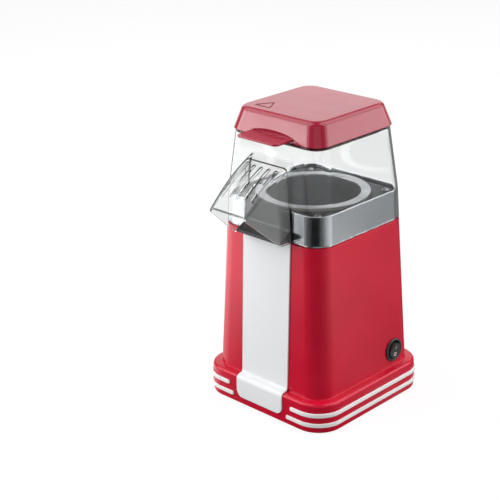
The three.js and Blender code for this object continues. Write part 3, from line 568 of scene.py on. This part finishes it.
def glow_round_the_machine(look):
    """An emission that follows TABLE_GLOW by direction and fades near the machine: the fade is a
    painted shadow, the machine's shade on the floor as gloss sees it.
    """
    fade_from, fade_to, shadowed_share = 0.16, 0.44, 0.4
    brightest = max(TABLE_GLOW.values())
    position = look.node("TexCoord")
    around = look.node("TexGradient")
    around.gradient_type = "RADIAL"
    look.link(position.outputs["Object"], around.inputs["Vector"])
    ramp = look.node("ValToRGB")
    stops = ramp.color_ramp.elements
    for index, (angle, radiance) in enumerate(TABLE_GLOW.items()):
        place_on_ramp = angle / 360 + 0.5
        stop = stops[index] if index < 1 else stops.new(place_on_ramp)
        stop.position = place_on_ramp
        stop.color = (*[radiance / brightest] * 3, 1)
    look.link(around.outputs["Fac"], ramp.inputs["Fac"])
    reach = look.node("VectorMath", operation="LENGTH")
    look.link(position.outputs["Object"], reach.inputs[0])
    # Painted shadow: the glow dims towards the machine, where its shade would fall on the floor.
    falloff = look.node("MapRange", {
        "From Min": fade_from, "From Max": fade_to,
        "To Min": brightest * shadowed_share, "To Max": brightest,
    })
    look.link(reach.outputs["Value"], falloff.inputs["Value"])
    glow = look.node("Emission")
    look.link(falloff.outputs["Result"], glow.inputs["Strength"])
    look.link(ramp.outputs["Color"], glow.inputs["Color"])
    return glow


def table_glow():
    """A disc on the floor that only gloss sees: bright to the left, softer to the
    right and dark in front, like the cards round a product table."""
    near, far, steps, lift = 0.03, 2.0, 72, 0.0006
    vertices = []
    for step in range(steps):
        angle = TURN * step / steps
        for reach in (near, far):
            vertices.append((reach * math.cos(angle), reach * math.sin(angle), 0))
    look = Look("table_glow")
    look.nodes.remove(look.shader)
    glow = glow_round_the_machine(look)
    path = look.node("LightPath")
    mirrored = look.node("Math", {1: 0.5}, operation="GREATER_THAN")
    look.link(path.outputs["Glossy Depth"], mirrored.inputs[0])
    mix = look.node("MixShader")
    look.link(mirrored.outputs["Value"], mix.inputs["Fac"])
    look.link(look.node("BsdfTransparent").outputs["BSDF"], mix.inputs[1])
    look.link(glow.outputs["Emission"], mix.inputs[2])
    look.link(mix.outputs["Shader"], look.result.inputs["Surface"])
    faces = bridge_faces(steps, 2, wrap_rows=True, wrap_columns=False)
    disc = mesh_object("table_glow", vertices, faces, look.material)
    disc.location = AXIS + Vector((0, 0, lift))
    disc.visible_camera = False
    disc.visible_diffuse = False
    disc.visible_shadow = False


def studio_floor():
    """A pale matt floor. Its glow lights the machine less than the camera sees."""
    half, shown_glow, glow_on_machine = 6.0, 0.82, 0.27
    look = Look("studio_floor")
    look.tint(look.noise(0.8), (0.19, 0.19, 0.19), (0.21, 0.21, 0.21))
    set_inputs(look.shader, {
        "Roughness": 0.6, "Specular IOR Level": 0, "Emission Color": (1, 1, 1, 1),
    })
    path = look.node("LightPath")
    glow = look.node("Math", {1: glow_on_machine - shown_glow, 2: shown_glow},
                     operation="MULTIPLY_ADD")
    look.link(path.outputs["Is Diffuse Ray"], glow.inputs[0])
    look.link(glow.outputs["Value"], look.shader.inputs["Emission Strength"])
    corners = [(-half, -half, 0), (half, -half, 0), (half, half, 0), (-half, half, 0)]
    floor = mesh_object("studio_floor", corners, [(0, 1, 2, 3)], look.material)


def studio():
    studio_floor()
    table_glow()
    world = bpy.data.worlds.new("studio")
    world.use_nodes = True
    background = world.node_tree.nodes["Background"]
    set_inputs(background, {"Color": (1, 1, 1, 1), "Strength": 0.16})
    bpy.context.scene.world = world
    bpy.context.scene.view_settings.view_transform = "Standard"
    for name, values in SOFT_LIGHTS.items():
        soft_light(name, *values)


# ---- housing and trim ----


def housing_outside(shoulder_round, ledge_round):
    """The housing's outline from the rim to the seam, with its two rounds' reach."""
    return [
        (PLINTH_RIM_Z, PLINTH_HALF, PLINTH_CORNER, 1.0),
        (PLINTH_TOP_Z + 0.4, PLINTH_HALF, PLINTH_CORNER, shoulder_round),
        (PLINTH_TOP_Z + 1.4, BODY_FOOT_HALF + 0.2, BODY_CORNER, ledge_round),
        (BODY_TOP_Z - SEAM_TALL, BODY_TOP_HALF, BODY_CORNER, 0.5),
    ]


def main_housing():
    """The red moulding: a tapered tower on its plinth, open below, with a seam
    step and an inward flange at the top."""
    inner_corner = BODY_CORNER - SHELL_WALL
    plinth_corner = PLINTH_CORNER - SHELL_WALL
    seam_half, seam_corner = BODY_TOP_HALF - SEAM_DEEP, BODY_CORNER - SEAM_DEEP
    flange_corner = BODY_CORNER - 2
    shell = square_loft("housing_shell", housing_outside(shoulder_round=3.0, ledge_round=0.6) + [
        (BODY_TOP_Z - SEAM_TALL, seam_half, seam_corner, 0.2),
        (BODY_TOP_Z, seam_half, seam_corner, 0.2),
        (BODY_TOP_Z, FLANGE_HALF, flange_corner, 0.5),
        (BODY_TOP_Z - SHELL_WALL, FLANGE_HALF, flange_corner, 0.5),
        (BODY_TOP_Z - SHELL_WALL, BODY_TOP_HALF - SHELL_WALL, inner_corner, 1),
        (PLINTH_TOP_Z, BODY_FOOT_HALF - SHELL_WALL, inner_corner, 1),
        (PLINTH_TOP_Z - SHELL_WALL, PLINTH_HALF - SHELL_WALL, plinth_corner, 1),
        (PLINTH_RIM_Z, PLINTH_HALF - SHELL_WALL, plinth_corner, 0.5),
    ], RED)
    for name, radius, frame_on_wall in (
        ("switch_hole", 10.1, SWITCH_FRAME), ("gland_hole", 6.3, GLAND_FRAME),
    ):
        cut(shell, move_mesh(drill(name, radius, -8, 8, RED), frame_on_wall))
    put_on(shell, "base", "main_housing")


def outside_route():
    """Points down the middle of the front, from the top to the plinth's foot, as
    (out, z, outward normal's two parts)."""
    outline = filleted(housing_outside(shoulder_round=3.4, ledge_round=4.4), closed=False)
    path = [(half, z) for z, half, corner in reversed(outline)]
    route = []
    for index, (out, z) in enumerate(path):
        before = Vector(path[max(0, index - 1)])
        after = Vector(path[min(len(path) - 1, index + 1)])
        along = (after - before).normalized()
        route.append((out, z, -along.y, along.x))
    return route


def front_panel():
    """A white trim 1.2 thick that follows the front from the hood to the plinth."""
    half_width, corner, lift, thick, foot = 29.5, 8.0, 0.3, 1.2, 8.0
    edge, edge_share, top = 0.55, 0.55, BODY_TOP_Z - 0.2
    route = [row for row in outside_route() if row[1] > foot]
    last_out = route[-1][0]
    for rise in (corner, 6.5, 5, 3.6, 2.4, 1.4, 0.7, 0.25, 0):
        route.append((last_out, foot + rise, 1, 0))
    route = [row for index, row in enumerate(route) if row[1] < top or index == 0]
    route[0] = (body_half(top), top, route[1][2], route[1][3])
    # Across the trim: how far in from its side, and the share of its thickness there.
    profile = [(0, 0), (0, edge_share), (0.3 * edge, 0.85), (edge, 1)]
    sections = []
    for out, z, normal_out, normal_z in route:
        rise = min(corner, z - foot)
        width = half_width - corner + math.sqrt(corner ** 2 - (corner - rise) ** 2)
        shelf = min(1.0, edge_share + (1 - edge_share) * rise / edge)
        section = []
        for side in (-1, 1):
            for inset, share in profile if side < 0 else reversed(profile):
                height = lift + thick * share * (shelf if share > 0.5 else 1)
                section.append((
                    side * (width - inset), -(out + normal_out * height), z + normal_z * height,
                ))
        sections.append(section)
    panel = loft("front_trim", sections, WHITE)
    put_on(panel, "base", "front_panel", angle=40)


def stripe_stations(end_x, radius):
    """Places round the plinth from one end of a stripe to the other, as
    (x, y, outward x, outward y, share of the full section)."""
    end_steps, corner_steps, least_share = 8, 16, 0.08
    straight = PLINTH_HALF - PLINTH_CORNER
    first_end = []
    for angle in arc(0, QUARTER, end_steps):
        x = end_x + radius * (1 - math.cos(angle))
        first_end.append((x, -PLINTH_HALF, 0, -1, max(least_share, math.sin(angle))))
    stations = list(first_end)
    for quarter in range(4):
        turn = Matrix.Rotation(quarter * QUARTER, 3, "Z")
        centre = turn @ Vector((straight, -straight, 0))
        for angle in arc(-QUARTER, QUARTER, corner_steps):
            outward = turn @ Vector((math.cos(angle), math.sin(angle), 0))
            point = centre + outward * PLINTH_CORNER
            stations.append((point.x, point.y, outward.x, outward.y, 1))
    for x, y, out_x, out_y, share in reversed(first_end):
        stations.append((-x, y, out_x, out_y, share))
    return stations


def plinth_stripe(level, end_x):
    """A raised white bead round the plinth, open across the front, with round ends."""
    section_steps, lift, height, fill = 10, 0.3, 1.25, 0.86
    low, high = box_mm(f"stripe_{level}")
    radius = (high.z - low.z) / 2 * fill
    middle = (high.z + low.z) / 2
    sections = []
    for x, y, out_x, out_y, share in stripe_stations(end_x, radius):
        section = []
        for angle in arc(-QUARTER, math.pi, section_steps):
            across = math.copysign(abs(math.sin(angle)) ** 0.55, math.sin(angle))
            proud = lift + height * abs(math.cos(angle)) ** 0.45 * (0.45 + 0.55 * share)
            section.append((x + out_x * proud, y + out_y * proud, middle + radius * share * across))
        sections.append(section)
    stripe = loft(f"stripe_{level}_bead", sections, STRIPE_WHITE)
    put_on(stripe, "base", f"stripe_{level}", angle=50)


# ---- hood and cap ----

# Down the spout's roof: (y, height, half width).
SPOUT_ROOF = [
    (-44, 256.0, 27.0), (-50, 253.6, 26.6), (-57, 250.9, 26.2), (-63.5, 248.0, 26.0),
    (-70, 244.8, 25.7), (-77, 241.2, 25.3), (-84, 237.2, 24.8), (-91.5, 232.2, 24.2),
    (-99, 226.6, 23.6), (-106.5, 220.7, 23.0), (-113.4, 214.8, 22.5),
]
ROOF_WALL = 1.7
ROOF_END_SLOPE = 0.7


def spout_block(name, inset, overrun):
    """The spout as a solid: a curved roof with rounded shoulders over flared sides."""
    shoulder, shoulder_steps = 3.6 - inset * 0.5, 5
    floor_z = HOOD_FOOT_Z - (3 if inset else 0)
    foot_half, front_foot_half, foot_taper = 30.3, 30, 0.13
    end_half, end_fall, roof_drop = 22.0, 0.86, inset * 1.2
    stations = [(y, z - roof_drop, half - inset) for y, z, half in SPOUT_ROOF]
    if overrun:
        end_z = SPOUT_ROOF[-1][1] - roof_drop - overrun * end_fall
        stations.append((SPOUT_TIP_Y - overrun, end_z, end_half - inset))
    sections = []
    for y, roof_z, half in stations:
        past_lip = y - SPOUT_LIP_Y
        floor_half = foot_half if past_lip > 0 else front_foot_half + past_lip * foot_taper
        floor_half -= inset
        section = [(floor_half, y, floor_z)]
        lean = (floor_half - half) / (roof_z - floor_z)
        for angle in arc(0, QUARTER, shoulder_steps):
            x = half - shoulder + shoulder * math.cos(angle) + (0 if angle else lean * shoulder)
            section.append((x, y, roof_z - shoulder + shoulder * math.sin(angle)))
        for share in (0.33, 0):
            section.append(((half - shoulder) * share, y, roof_z))
        mirrored = [(-x, y, z) for x, y, z in reversed(section[:-1])]
        sections.append(section + mirrored)
    return loft(name, sections, CLEAR)


def mouth_cutter():
    """Everything in front of and below the spout's slanted mouth."""
    half_width, overlap, depth, end_wall = 40, 30, 60, 4.4
    tip = Vector((0, SPOUT_TIP_Y - 0.2, SPOUT_ROOF[-1][1] - end_wall))
    lip = Vector((0, SPOUT_LIP_Y, HOOD_FOOT_Z))
    along = (lip - tip).normalized()
    out = Vector((0, along.z, -along.y))
    top_end, low_end = tip - along * overlap, lip + along * overlap
    outline = [top_end, tip, lip, low_end, low_end + out * depth, top_end + out * depth]
    sections = [[(x, point.y, point.z) for point in outline] for x in (-half_width, half_width)]
    return loft("mouth_cutter", sections, CLEAR)


def roof_point(y):
    """The spout roof's height and slope angle at a place along the spout."""
    for (near_y, near_z, _), (far_y, far_z, _) in zip(SPOUT_ROOF, SPOUT_ROOF[1:]):
        if y >= far_y:
            share = (y - near_y) / (far_y - near_y)
            slope = math.atan2(near_z - far_z, near_y - far_y)
            return near_z + share * (far_z - near_z), slope
    return SPOUT_ROOF[-1][1], ROOF_END_SLOPE


def roof_slots():
    """Five long cutters that follow the roof's curve, with chamfered rims."""
    middle_y, pitch, width, chamfer, overrun = -85.5, 9, 2.4, 0.5, 3
    # Through the roof: the height over it, and how much wider the cutter is there.
    rims = [
        (overrun, 2.4), (0, chamfer), (-chamfer, 0),
        (chamfer - ROOF_WALL, 0), (-ROOF_WALL, chamfer), (-ROOF_WALL - overrun, overrun),
    ]
    slots = []
    for row in range(-2, 3):
        length = 33 if row > -2 else 36
        sections = []
        for height, wider in rims:
            section = []
            for along, across, out_along, out_across in capsule_outline(length, width):
                y = middle_y + along + out_along * wider
                z, slope = roof_point(y)
                x = row * pitch + across + out_across * wider
                section.append((x, y - math.sin(slope) * height, z + math.cos(slope) * height))
            sections.append(section)
        slots.append(loft("roof_slot", sections, CLEAR))
    return slots


def clear_hood():
    """The clear moulding: skirt, shoulder and neck, with the spout on its front."""
    skirt, neck, wall, hazy_from_y = 61.5, 46, 1.6, -64.5
    shell = square_loft("hood_moulding", [
        (HOOD_FOOT_Z, 63.4, 20, 0.4),
        (BAND_TOP_Z, 62.2, 19.6, 5),
        (SHOULDER_Z, 54.9, 16, 1.4),
        (SHOULDER_Z, 51.2, 12.6, 0.6),
        (NECK_TOP_Z, 50.6, 12.2, 0.5),
        (NECK_TOP_Z, neck, 9, 0.5),
        (NECK_TOP_Z - wall, neck, 9, 0.5),
        (NECK_TOP_Z - wall, 49, 11, 0.6),
        (SHOULDER_Z - wall, 49.2, 11.2, 0.6),
        (SHOULDER_Z - 2.2, 53.3, 14.4, 0.8),
        (BAND_TOP_Z, 60.3, 17.8, 5),
        (HOOD_FOOT_Z, skirt, 18.2, 0.4),
    ], CLEAR)
    cavity = square_loft("hood_cavity", [
        (HOOD_FOOT_Z - 5, skirt + 0.2, 18.4, 0),
        (BAND_TOP_Z, 60.4, 17.9, 0),
        (SHOULDER_Z - 4, 53.3, 14.3, 0),
    ], CLEAR, ring=False)
    spout = cut(spout_block("spout_outside", 0, 0), mouth_cutter(), cavity)
    combine(shell, spout, "UNION")
    cut(shell, spout_block("spout_passage", ROOF_WALL, 12), *roof_slots())
    shell.data.materials.append(HAZY_CLEAR)
    hazy_from = AXIS.y + hazy_from_y * MM
    for polygon in shell.data.polygons:
        polygon.material_index = int(polygon.center.y < hazy_from)
    put_on(shell, "hood", "clear_hood", angle=28)


def finger_scoop():
    """A long shallow ellipsoid that hollows the cap's front above the tab."""
    rows, columns = 24, 48
    centre, radii = Vector((0, -58, 271)), Vector((34, 5.4, 8.6))
    vertices = []
    for row in range(1, rows):
        polar = row / rows * math.pi
        for column in range(columns):
            angle = column / columns * TURN
            vertices.append(centre + Vector((
                radii.x * math.cos(polar), radii.y * math.sin(polar) * math.cos(angle),
                radii.z * math.sin(polar) * math.sin(angle),
            )))
    faces = bridge_faces(rows - 1, columns)
    for row, end in ((0, 1), (rows - 2, -1)):
        close_at_hub(vertices, faces, centre + Vector((radii.x * end, 0, 0)), row, columns)
    return mesh_piece("finger_scoop", vertices, faces, SHADED_CAP_RED)


def finger_tab():
    """A thin plate with rounded front corners that grows out of the cap's front."""
    half_width, root_y, corner, steps = 25.0, -50.5, 5.0, 8
    foot, top = CAP_FOOT_Z + 2.0, CAP_FOOT_Z + 4.0
    outline = [(half_width, root_y)]
    for side, start in ((1, 0), (-1, -QUARTER)):
        for angle in arc(start, -QUARTER, steps):
            outline.append((
                side * (half_width - corner) + corner * math.cos(angle),
                TAB_TIP_Y + corner + corner * math.sin(angle),
            ))
    outline.append((-half_width, root_y))
    plate = loft("finger_tab", [[(x, y, z) for x, y in outline] for z in (foot, top)], SHADED_CAP_RED)
    return bevel(plate, 0.45, 3)


def measuring_cap():
    """The red lid: a flared cover over a measuring cup that opens downwards."""
    cup_outer, cup_inner, lid = 45.4, 43.4, 2.4
    seat_z = NECK_TOP_Z + 1
    cap = square_loft("cap_moulding", [
        (CAP_TOP_Z - lid, cup_inner - 6, 3.4, 0),
        (CAP_TOP_Z - lid, cup_inner, 6.8, 3),
        (CUP_FOOT_Z, cup_inner - 0.4, 6.6, 0.5),
        (CUP_FOOT_Z, cup_outer - 0.4, 8.4, 0.5),
        (seat_z, cup_outer, 8.8, 0.6),
        (seat_z, 52.0, 12.2, 0.6),
        (CAP_FOOT_Z, 52.4, 12.8, 0.4),
        (CAP_FOOT_Z, 56.0, 15, 0.7),
        (CAP_TOP_Z, 49.2, 12.8, 3.8),
        (CAP_TOP_Z, 40, 8, 0),
    ], SHADED_CAP_RED, ring=False, steps=8)
    cut(cap, finger_scoop())
    combine(cap, finger_tab(), "UNION")
    put_on(cap, "cap", "measuring_cap", angle=30)


def lid_triangle():
    """A plain raised triangle outline near the cap's front left corner."""
    centre = Vector((-27.4, -33, 0))
    outer, inner, lift, sink, edge = 10.6, 8.4, 0.25, 0.3, 0.15
    foot, top = CAP_TOP_Z - sink, CAP_TOP_Z + lift
    rims = (
        (outer, foot), (outer, top - 0.08), (outer - edge, top),
        (inner + edge, top), (inner, top - 0.08), (inner, foot),
    )
    corner_spread, corner_blunting = 0.16, 0.06
    sections = []
    for radius, z in rims:
        section = []
        for index in range(3):
            for nudge in (-corner_spread, 0, corner_spread):
                angle = QUARTER + index * TURN / 3 + nudge * outer / radius * 0.35
                reach = radius * (1 - corner_blunting * (nudge == 0))
                section.append((
                    centre.x + reach * math.cos(angle), centre.y + reach * math.sin(angle), z,
                ))
        sections.append(section)
    mark = loft("lid_triangle", sections, PRINT_DARK, ring=True)
    put_on(mark, "cap", angle=30)


# ---- band, deck and chamber ----


def band_ring():
    foot = box_mm("band_ring")[0].z
    outer, wall, lip = 61.2, 1.2, 1.6
    top_outer, lip_z = outer - 1.2, BAND_TOP_Z - 1.4
    band = square_loft("metal_band", [
        (foot, outer, 18, 0.3),
        (lip_z, outer - 1.15, 17.6, 0.4),
        (BAND_TOP_Z, top_outer, 17.6, 0.5),
        (BAND_TOP_Z, top_outer - lip, 16, 0.5),
        (lip_z, top_outer - wall, 16.4, 0.4),
        (foot, outer - wall, 16.8, 0.3),
    ], BAND)
    put_on(band, "base", "band_ring", angle=50)


def outlet_ramp():
    """The spout's sloping black floor, hooked over the band's rim."""
    low, high = box_mm("outlet_ramp")
    lip_y, hook_y, foot, top = low.y, high.y, low.z, high.z
    lip_top, slope, half_foot, lean, pinch = foot + 2.6, 0.52, 27.3, 0.05, 0.35
    wall, hook_wall, hook_drop, band_y = 1.5, 1.2, 5, -62.5
    hook_inner_y, hook_foot = hook_y - hook_wall, top - hook_drop
    profile = filleted([
        (lip_y, foot, 0.4), (lip_y, lip_top, 0.8),
        (band_y, lip_top + slope * (band_y - lip_y), 2.5), (-61.6, top, 0.7),
        (hook_y, top, 0.5), (hook_y, hook_foot, 0.3), (hook_inner_y, hook_foot, 0.3),
        (hook_inner_y, top - wall, 0.3), (-60.3, top - wall, 0.3), (-61.5, foot, 0.3),
    ], steps=4)
    lip_middle = (lip_top + foot) / 2
    sections = []
    for share in (-1, -0.985, -0.3, 0.3, 0.985, 1):
        tuck = pinch if abs(share) == 1 else 0
        section = []
        for y, z in profile:
            half = half_foot - lean * (z - foot)
            section.append((
                share * half, y + (tuck if y < -70 else 0),
                z - tuck * math.copysign(1, z - lip_middle),
            ))
        sections.append(section)
    ramp = loft("outlet_floor", sections, BLACK)
    pocket_half, pocket_front, pocket_back, pocket_foot = 25.6, -74.6, -63, foot - 2
    pocket = [
        (pocket_front, pocket_foot), (pocket_front, lip_top - 0.7),
        (pocket_back, lip_top + slope * 13.2 - 1.6), (pocket_back, pocket_foot),
    ]
    pocket_sections = [[(x, y, z) for y, z in pocket] for x in (-pocket_half, pocket_half)]
    cut(ramp, loft("ramp_pocket", pocket_sections, BLACK))
    put_on(ramp, "base", "outlet_ramp")


def top_deck():
    """The black deck under the hood, with a well and a raised rim round the chamber."""
    low, high = box_mm("top_deck")
    foot, top = low.z, high.z
    half, corner, wall, plate = 57.6, 15, 2.0, 3
    steps, rim_outer, rim_inner, rim_top = 96, 56.2, 54.4, top + 0.8
    middle_half, middle_corner = 20, 8  # cut away with the well
    deck = square_loft("deck_moulding", [
        (foot, half, corner, 0.3), (top, half, corner, 1.2), (top, middle_half, middle_corner, 0),
        (top - plate, middle_half, middle_corner, 0), (top - plate, half - wall, corner - wall, 1),
        (foot, half - wall, corner - wall, 0.3),
    ], BLACK)
    rim = rounded_turning("deck_rim", [
        (DECK_HOLE_RADIUS, top - 1, 0), (rim_outer, top - 1, 0), (rim_outer, rim_top, 0.4),
        (rim_inner, rim_top, 0.4), (rim_inner, top, 0.2), (DECK_HOLE_RADIUS, top, 0),
    ], BLACK, steps)
    cut(deck, drill("deck_well", DECK_HOLE_RADIUS, top - 9, top + 3, BLACK, steps))
    combine(deck, rim, "UNION")
    for corner_name in CORNERS:
        hole = drill("screw_hole", 1.8, top - 8, top + 4, BLACK, 24)
        cut(deck, move_mesh(hole, over_node(f"deck_screw_{corner_name}")))
    put_on(deck, "base", "top_deck", angle=30)


def chamber_gasket():
    low, high = box_mm("chamber_gasket")
    inner, outer, edge = 48, 53, 0.4
    gasket = rounded_turning("gasket_ring", [
        (inner, low.z, edge), (outer, low.z, edge), (outer, high.z, edge), (inner, high.z, edge),
    ], SILICONE, 96)
    put_on(gasket, "base", "chamber_gasket", angle=40)


def popping_chamber():
    """A flanged pot with sixteen slanted louvres just over its crowned floor."""
    low, high = box_mm("popping_chamber")
    foot, rim = low.z, high.z
    outer, wall, flange, floor_edge, crown = CHAMBER_RADIUS, 1.2, 53.5, 38, 3
    inner, louvres, louvre_rise = outer - wall, 16, 11
    pot = rounded_turning("chamber_pot", [
        (0, foot + crown, 0), (floor_edge, foot, 3), (outer - 1, foot + 1.2, 2.4),
        (outer, foot + 5, 1.6), (outer, rim - wall, 0.5), (flange, rim - wall, 0.45),
        (flange, rim, 0.45), (inner, rim, 1.4), (inner, foot + 5.6, 1.6),
        (inner - 1.2, foot + 2.4, 2.4), (floor_edge, foot + wall, 3), (0, foot + crown + wall, 0),
    ], ALUMINIUM, 128)
    slant = Matrix.Rotation(math.radians(35), 4, "X")
    on_wall = Matrix.Translation((outer - 1, 0, foot + louvre_rise))
    cutters = []
    for index in range(louvres):
        slot = block("louvre", (-3, -0.9, -4.5), (3, 0.9, 4.5), ALUMINIUM)
        around = Matrix.Rotation(index / louvres * TURN, 4, "Z")
        cutters.append(move_mesh(slot, around @ on_wall @ slant))
    joined = cutters[0]
    for slot in cutters[1:]:
        combine(joined, slot, "UNION")
    cut(pot, joined)
    put_on(pot, "base", "popping_chamber")


# ---- switch and gland ----

ROCKER_RADIUS = 7.7
ROCKER_TILT = math.radians(10)


def switch_bezel():
    bezel = rounded_turning("bezel_ring", [
        (0, -14, 0), (9.7, -14, 0.5), (9.7, 0.3, 0), (11.5, 0.3, 0.3), (11.5, 1.7, 0.6),
        (10.2, 2.3, 0.5), (9.2, 1.8, 0.3), (9.0, -9, 0.4), (0, -9, 0),
    ], SWITCH_BLACK, 96)
    move_mesh(bezel, SWITCH_FRAME)
    put_on(bezel, "base", "switch_bezel")


def rocker_height(x):
    """The rocker's face, dished along the way that it tips."""
    return 3.1 + 1.2 * (x / ROCKER_RADIUS) ** 2


def switch_rocker():
    """A round paddle with a dished face, its upper half raised at rest."""
    steps, rings, edge_drop = 72, 10, 0.4
    sections = []
    for ring in range(1, rings + 1):
        reach = ROCKER_RADIUS * math.sin(ring / rings * math.pi / 2)
        drop = edge_drop if ring == rings else 0
        sections.append([(x, y, rocker_height(x) - drop) for x, y, z in circle(reach, steps)])
    for share, z in ((1.0, 0.4), (0.9, -1.5), (0.62, -5.6)):
        sections.append(circle(ROCKER_RADIUS * share, steps, z))
    rocker = loft("rocker_paddle", sections, SWITCH_BLACK)
    tilt = SWITCH_FRAME @ Matrix.Rotation(ROCKER_TILT, 4, "Y")
    move_mesh(rocker, tilt)
    put_on(rocker, "rocker", "switch_rocker", angle=40)
    bar = [(-5.6, -0.36), (-2.0, -0.36), (-2.0, 0.36), (-5.6, 0.36)]
    rocker_mark("rocker_mark_on", bar, None, tilt)
    ring_x, ring_steps = 3.6, 24
    ring_outer, ring_inner = (
        [(ring_x + x, y) for x, y, z in circle(radius, ring_steps)] for radius in (1.85, 1.25)
    )
    rocker_mark("rocker_mark_off", ring_outer, ring_inner, tilt)


def rocker_mark(name, outline, hole, aim):
    """A printed mark that lies on the dished face, 0.12 thick."""
    sink, thick = -0.1, 0.12
    skins = [(outline, sink), (outline, thick)]
    if hole is not None:
        skins += [(hole, thick), (hole, sink)]
    sections = [[(x, y, rocker_height(x) + lift) for x, y in skin] for skin, lift in skins]
    mark = move_mesh(loft(name, sections, MARK_WHITE, ring=hole is not None), aim)
    put_on(mark, "rocker", angle=30)


def cord_gland():
    gland = rounded_turning("gland_bush", [
        (3.6, -9, 0.3), (5.6, -9, 0.5), (6, -6, 0.5), (6, 0.3, 0), (9, 0.3, 0.4),
        (9, 1.8, 0.7), (5.6, 3.2, 0.8), (4.8, 4.6, 0.5), (3.6, 4.6, 0.4),
    ], RUBBER)
    move_mesh(gland, GLAND_FRAME)
    put_on(gland, "base", "cord_gland")


# ---- underside and works ----


def rubber_foot(corner_name):
    """A pad with a hollow tread and a barbed stem that snaps into the cover."""
    node = f"foot_{corner_name}"
    stem_top = box_mm(node)[1].z
    foot = rounded_turning(f"{node}_pad", [
        (0, 0.5, 0), (4, 0.5, 0.5), (4.8, 0, 0.4), (8.4, 0, 0.6), (9, 1.0, 0.6), (9, 2.7, 0.4),
        (2.3, 2.7, 0.2), (2.3, 5.9, 0.1), (3.2, 6.3, 0.2), (1.6, stem_top, 0.4), (0, stem_top, 0),
    ], RUBBER, 48)
    move_mesh(foot, over_node(node))
    put_on(foot, "base", node)


def cross_screw(node, head_up):
    """A pan-head screw with a cross recess."""
    low, high = box_mm(node)
    head = (high.x - low.x) / 2
    length = high.z - low.z
    tall = head * 0.55
    shank, arm_reach, arm_half, arm_deep = 1.45, head * 0.55, 0.4, tall * 0.62
    screw = rounded_turning(f"{node}_body", [
        (0, 0, 0), (head * 0.55, 0.02, head * 0.3), (head, tall * 0.55, 0.4), (head, tall, 0.25),
        (shank, tall, 0.2), (shank, length - 1.2, 0.3), (0, length, 0),
    ], STEEL, 36)
    arms, other_arm = (
        block("recess", (-x, -y, -1), (x, y, arm_deep), STEEL)
        for x, y in ((arm_reach, arm_half), (arm_half, arm_reach))
    )
    combine(arms, other_arm, "UNION")
    cut(screw, arms)
    if head_up:
        move_mesh(screw, over_node(node, high.z) @ Matrix.Rotation(math.pi, 4, "X"))
    else:
        move_mesh(screw, over_node(node, low.z))
    put_on(screw, "base", node)


def finished_copy(node, body, material, subdivide=False):
    """The CAD piece's own shape with its edges rounded, or its facets smoothed."""
    edge_round, edge_angle = 0.25, 40
    copy = add_object(f"{node}_finished", NODES[node].data.copy())
    copy.data.materials.clear()
    copy.data.materials.append(material)
    builder = bmesh.new()
    builder.from_mesh(copy.data)
    bmesh.ops.remove_doubles(builder, verts=builder.verts, dist=1e-6)
    bmesh.ops.dissolve_limit(builder, angle_limit=0.01, verts=builder.verts, edges=builder.edges)
    builder.to_mesh(copy.data)
    builder.free()
    if subdivide:
        modifier = copy.modifiers.new("rounder", "SUBSURF")
        modifier.levels = 1
        modifier.render_levels = 1
        apply_modifiers(copy)
    else:
        bevel(copy, edge_round, angle=edge_angle)
    put_on(copy, body, node, angle=32)


def works():
    """The sealed pieces: their own shapes, rounded, each in its real material."""
    spinning = ("fan_impeller", "motor_rotor")
    rounded = [
        ("bottom_cover", "black_plastic", BLACK), ("chamber_jacket", "steel", STEEL),
        ("mica_cross", "mica", MICA), ("thermostat", "steel", STEEL),
        ("thermal_fuse", "steel", STEEL), ("fan_housing", "black_plastic", BLACK),
        ("fan_impeller", "natural_nylon", NYLON), ("motor_rotor", "steel", STEEL),
        ("motor_can", "steel", STEEL), ("motor_end_cap", "natural_nylon", NYLON),
        ("rectifier_board", "circuit_board", BOARD), ("capacitor", "component_black", EPOXY),
        ("terminal_block", "natural_nylon", NYLON),
        ("switch_terminal_line", "brass", BRASS), ("switch_terminal_load", "brass", BRASS),
    ]
    rounded += [(f"diode_{index}", "component_black", EPOXY) for index in range(1, 5)]
    for node, slot, material in rounded:
        finished_copy(node, "fan" if node in spinning else "base", material)
    for node, slot, material in (
        ("heater_coil", "nichrome", NICHROME), ("lead_gland_to_block", "wire_blue", WIRE_BLUE),
        ("lead_block_to_switch", "wire_red", WIRE_RED),
    ):
        finished_copy(node, "base", material, subdivide=True)


# ---- the machine ----

photo_camera()
studio()
main_housing()
front_panel()
plinth_stripe("lower", end_x=34.5)
plinth_stripe("upper", end_x=39.5)
clear_hood()
measuring_cap()
lid_triangle()
band_ring()
outlet_ramp()
top_deck()
chamber_gasket()
popping_chamber()
switch_bezel()
switch_rocker()
cord_gland()
for corner_name in CORNERS:
    rubber_foot(corner_name)
    cross_screw(f"deck_screw_{corner_name}", head_up=True)
for side_name in ("right", "back", "left", "front"):
    cross_screw(f"base_screw_{side_name}", head_up=False)
for side_name in ("left", "right"):
    cross_screw(f"motor_screw_{side_name}", head_up=True)
works()
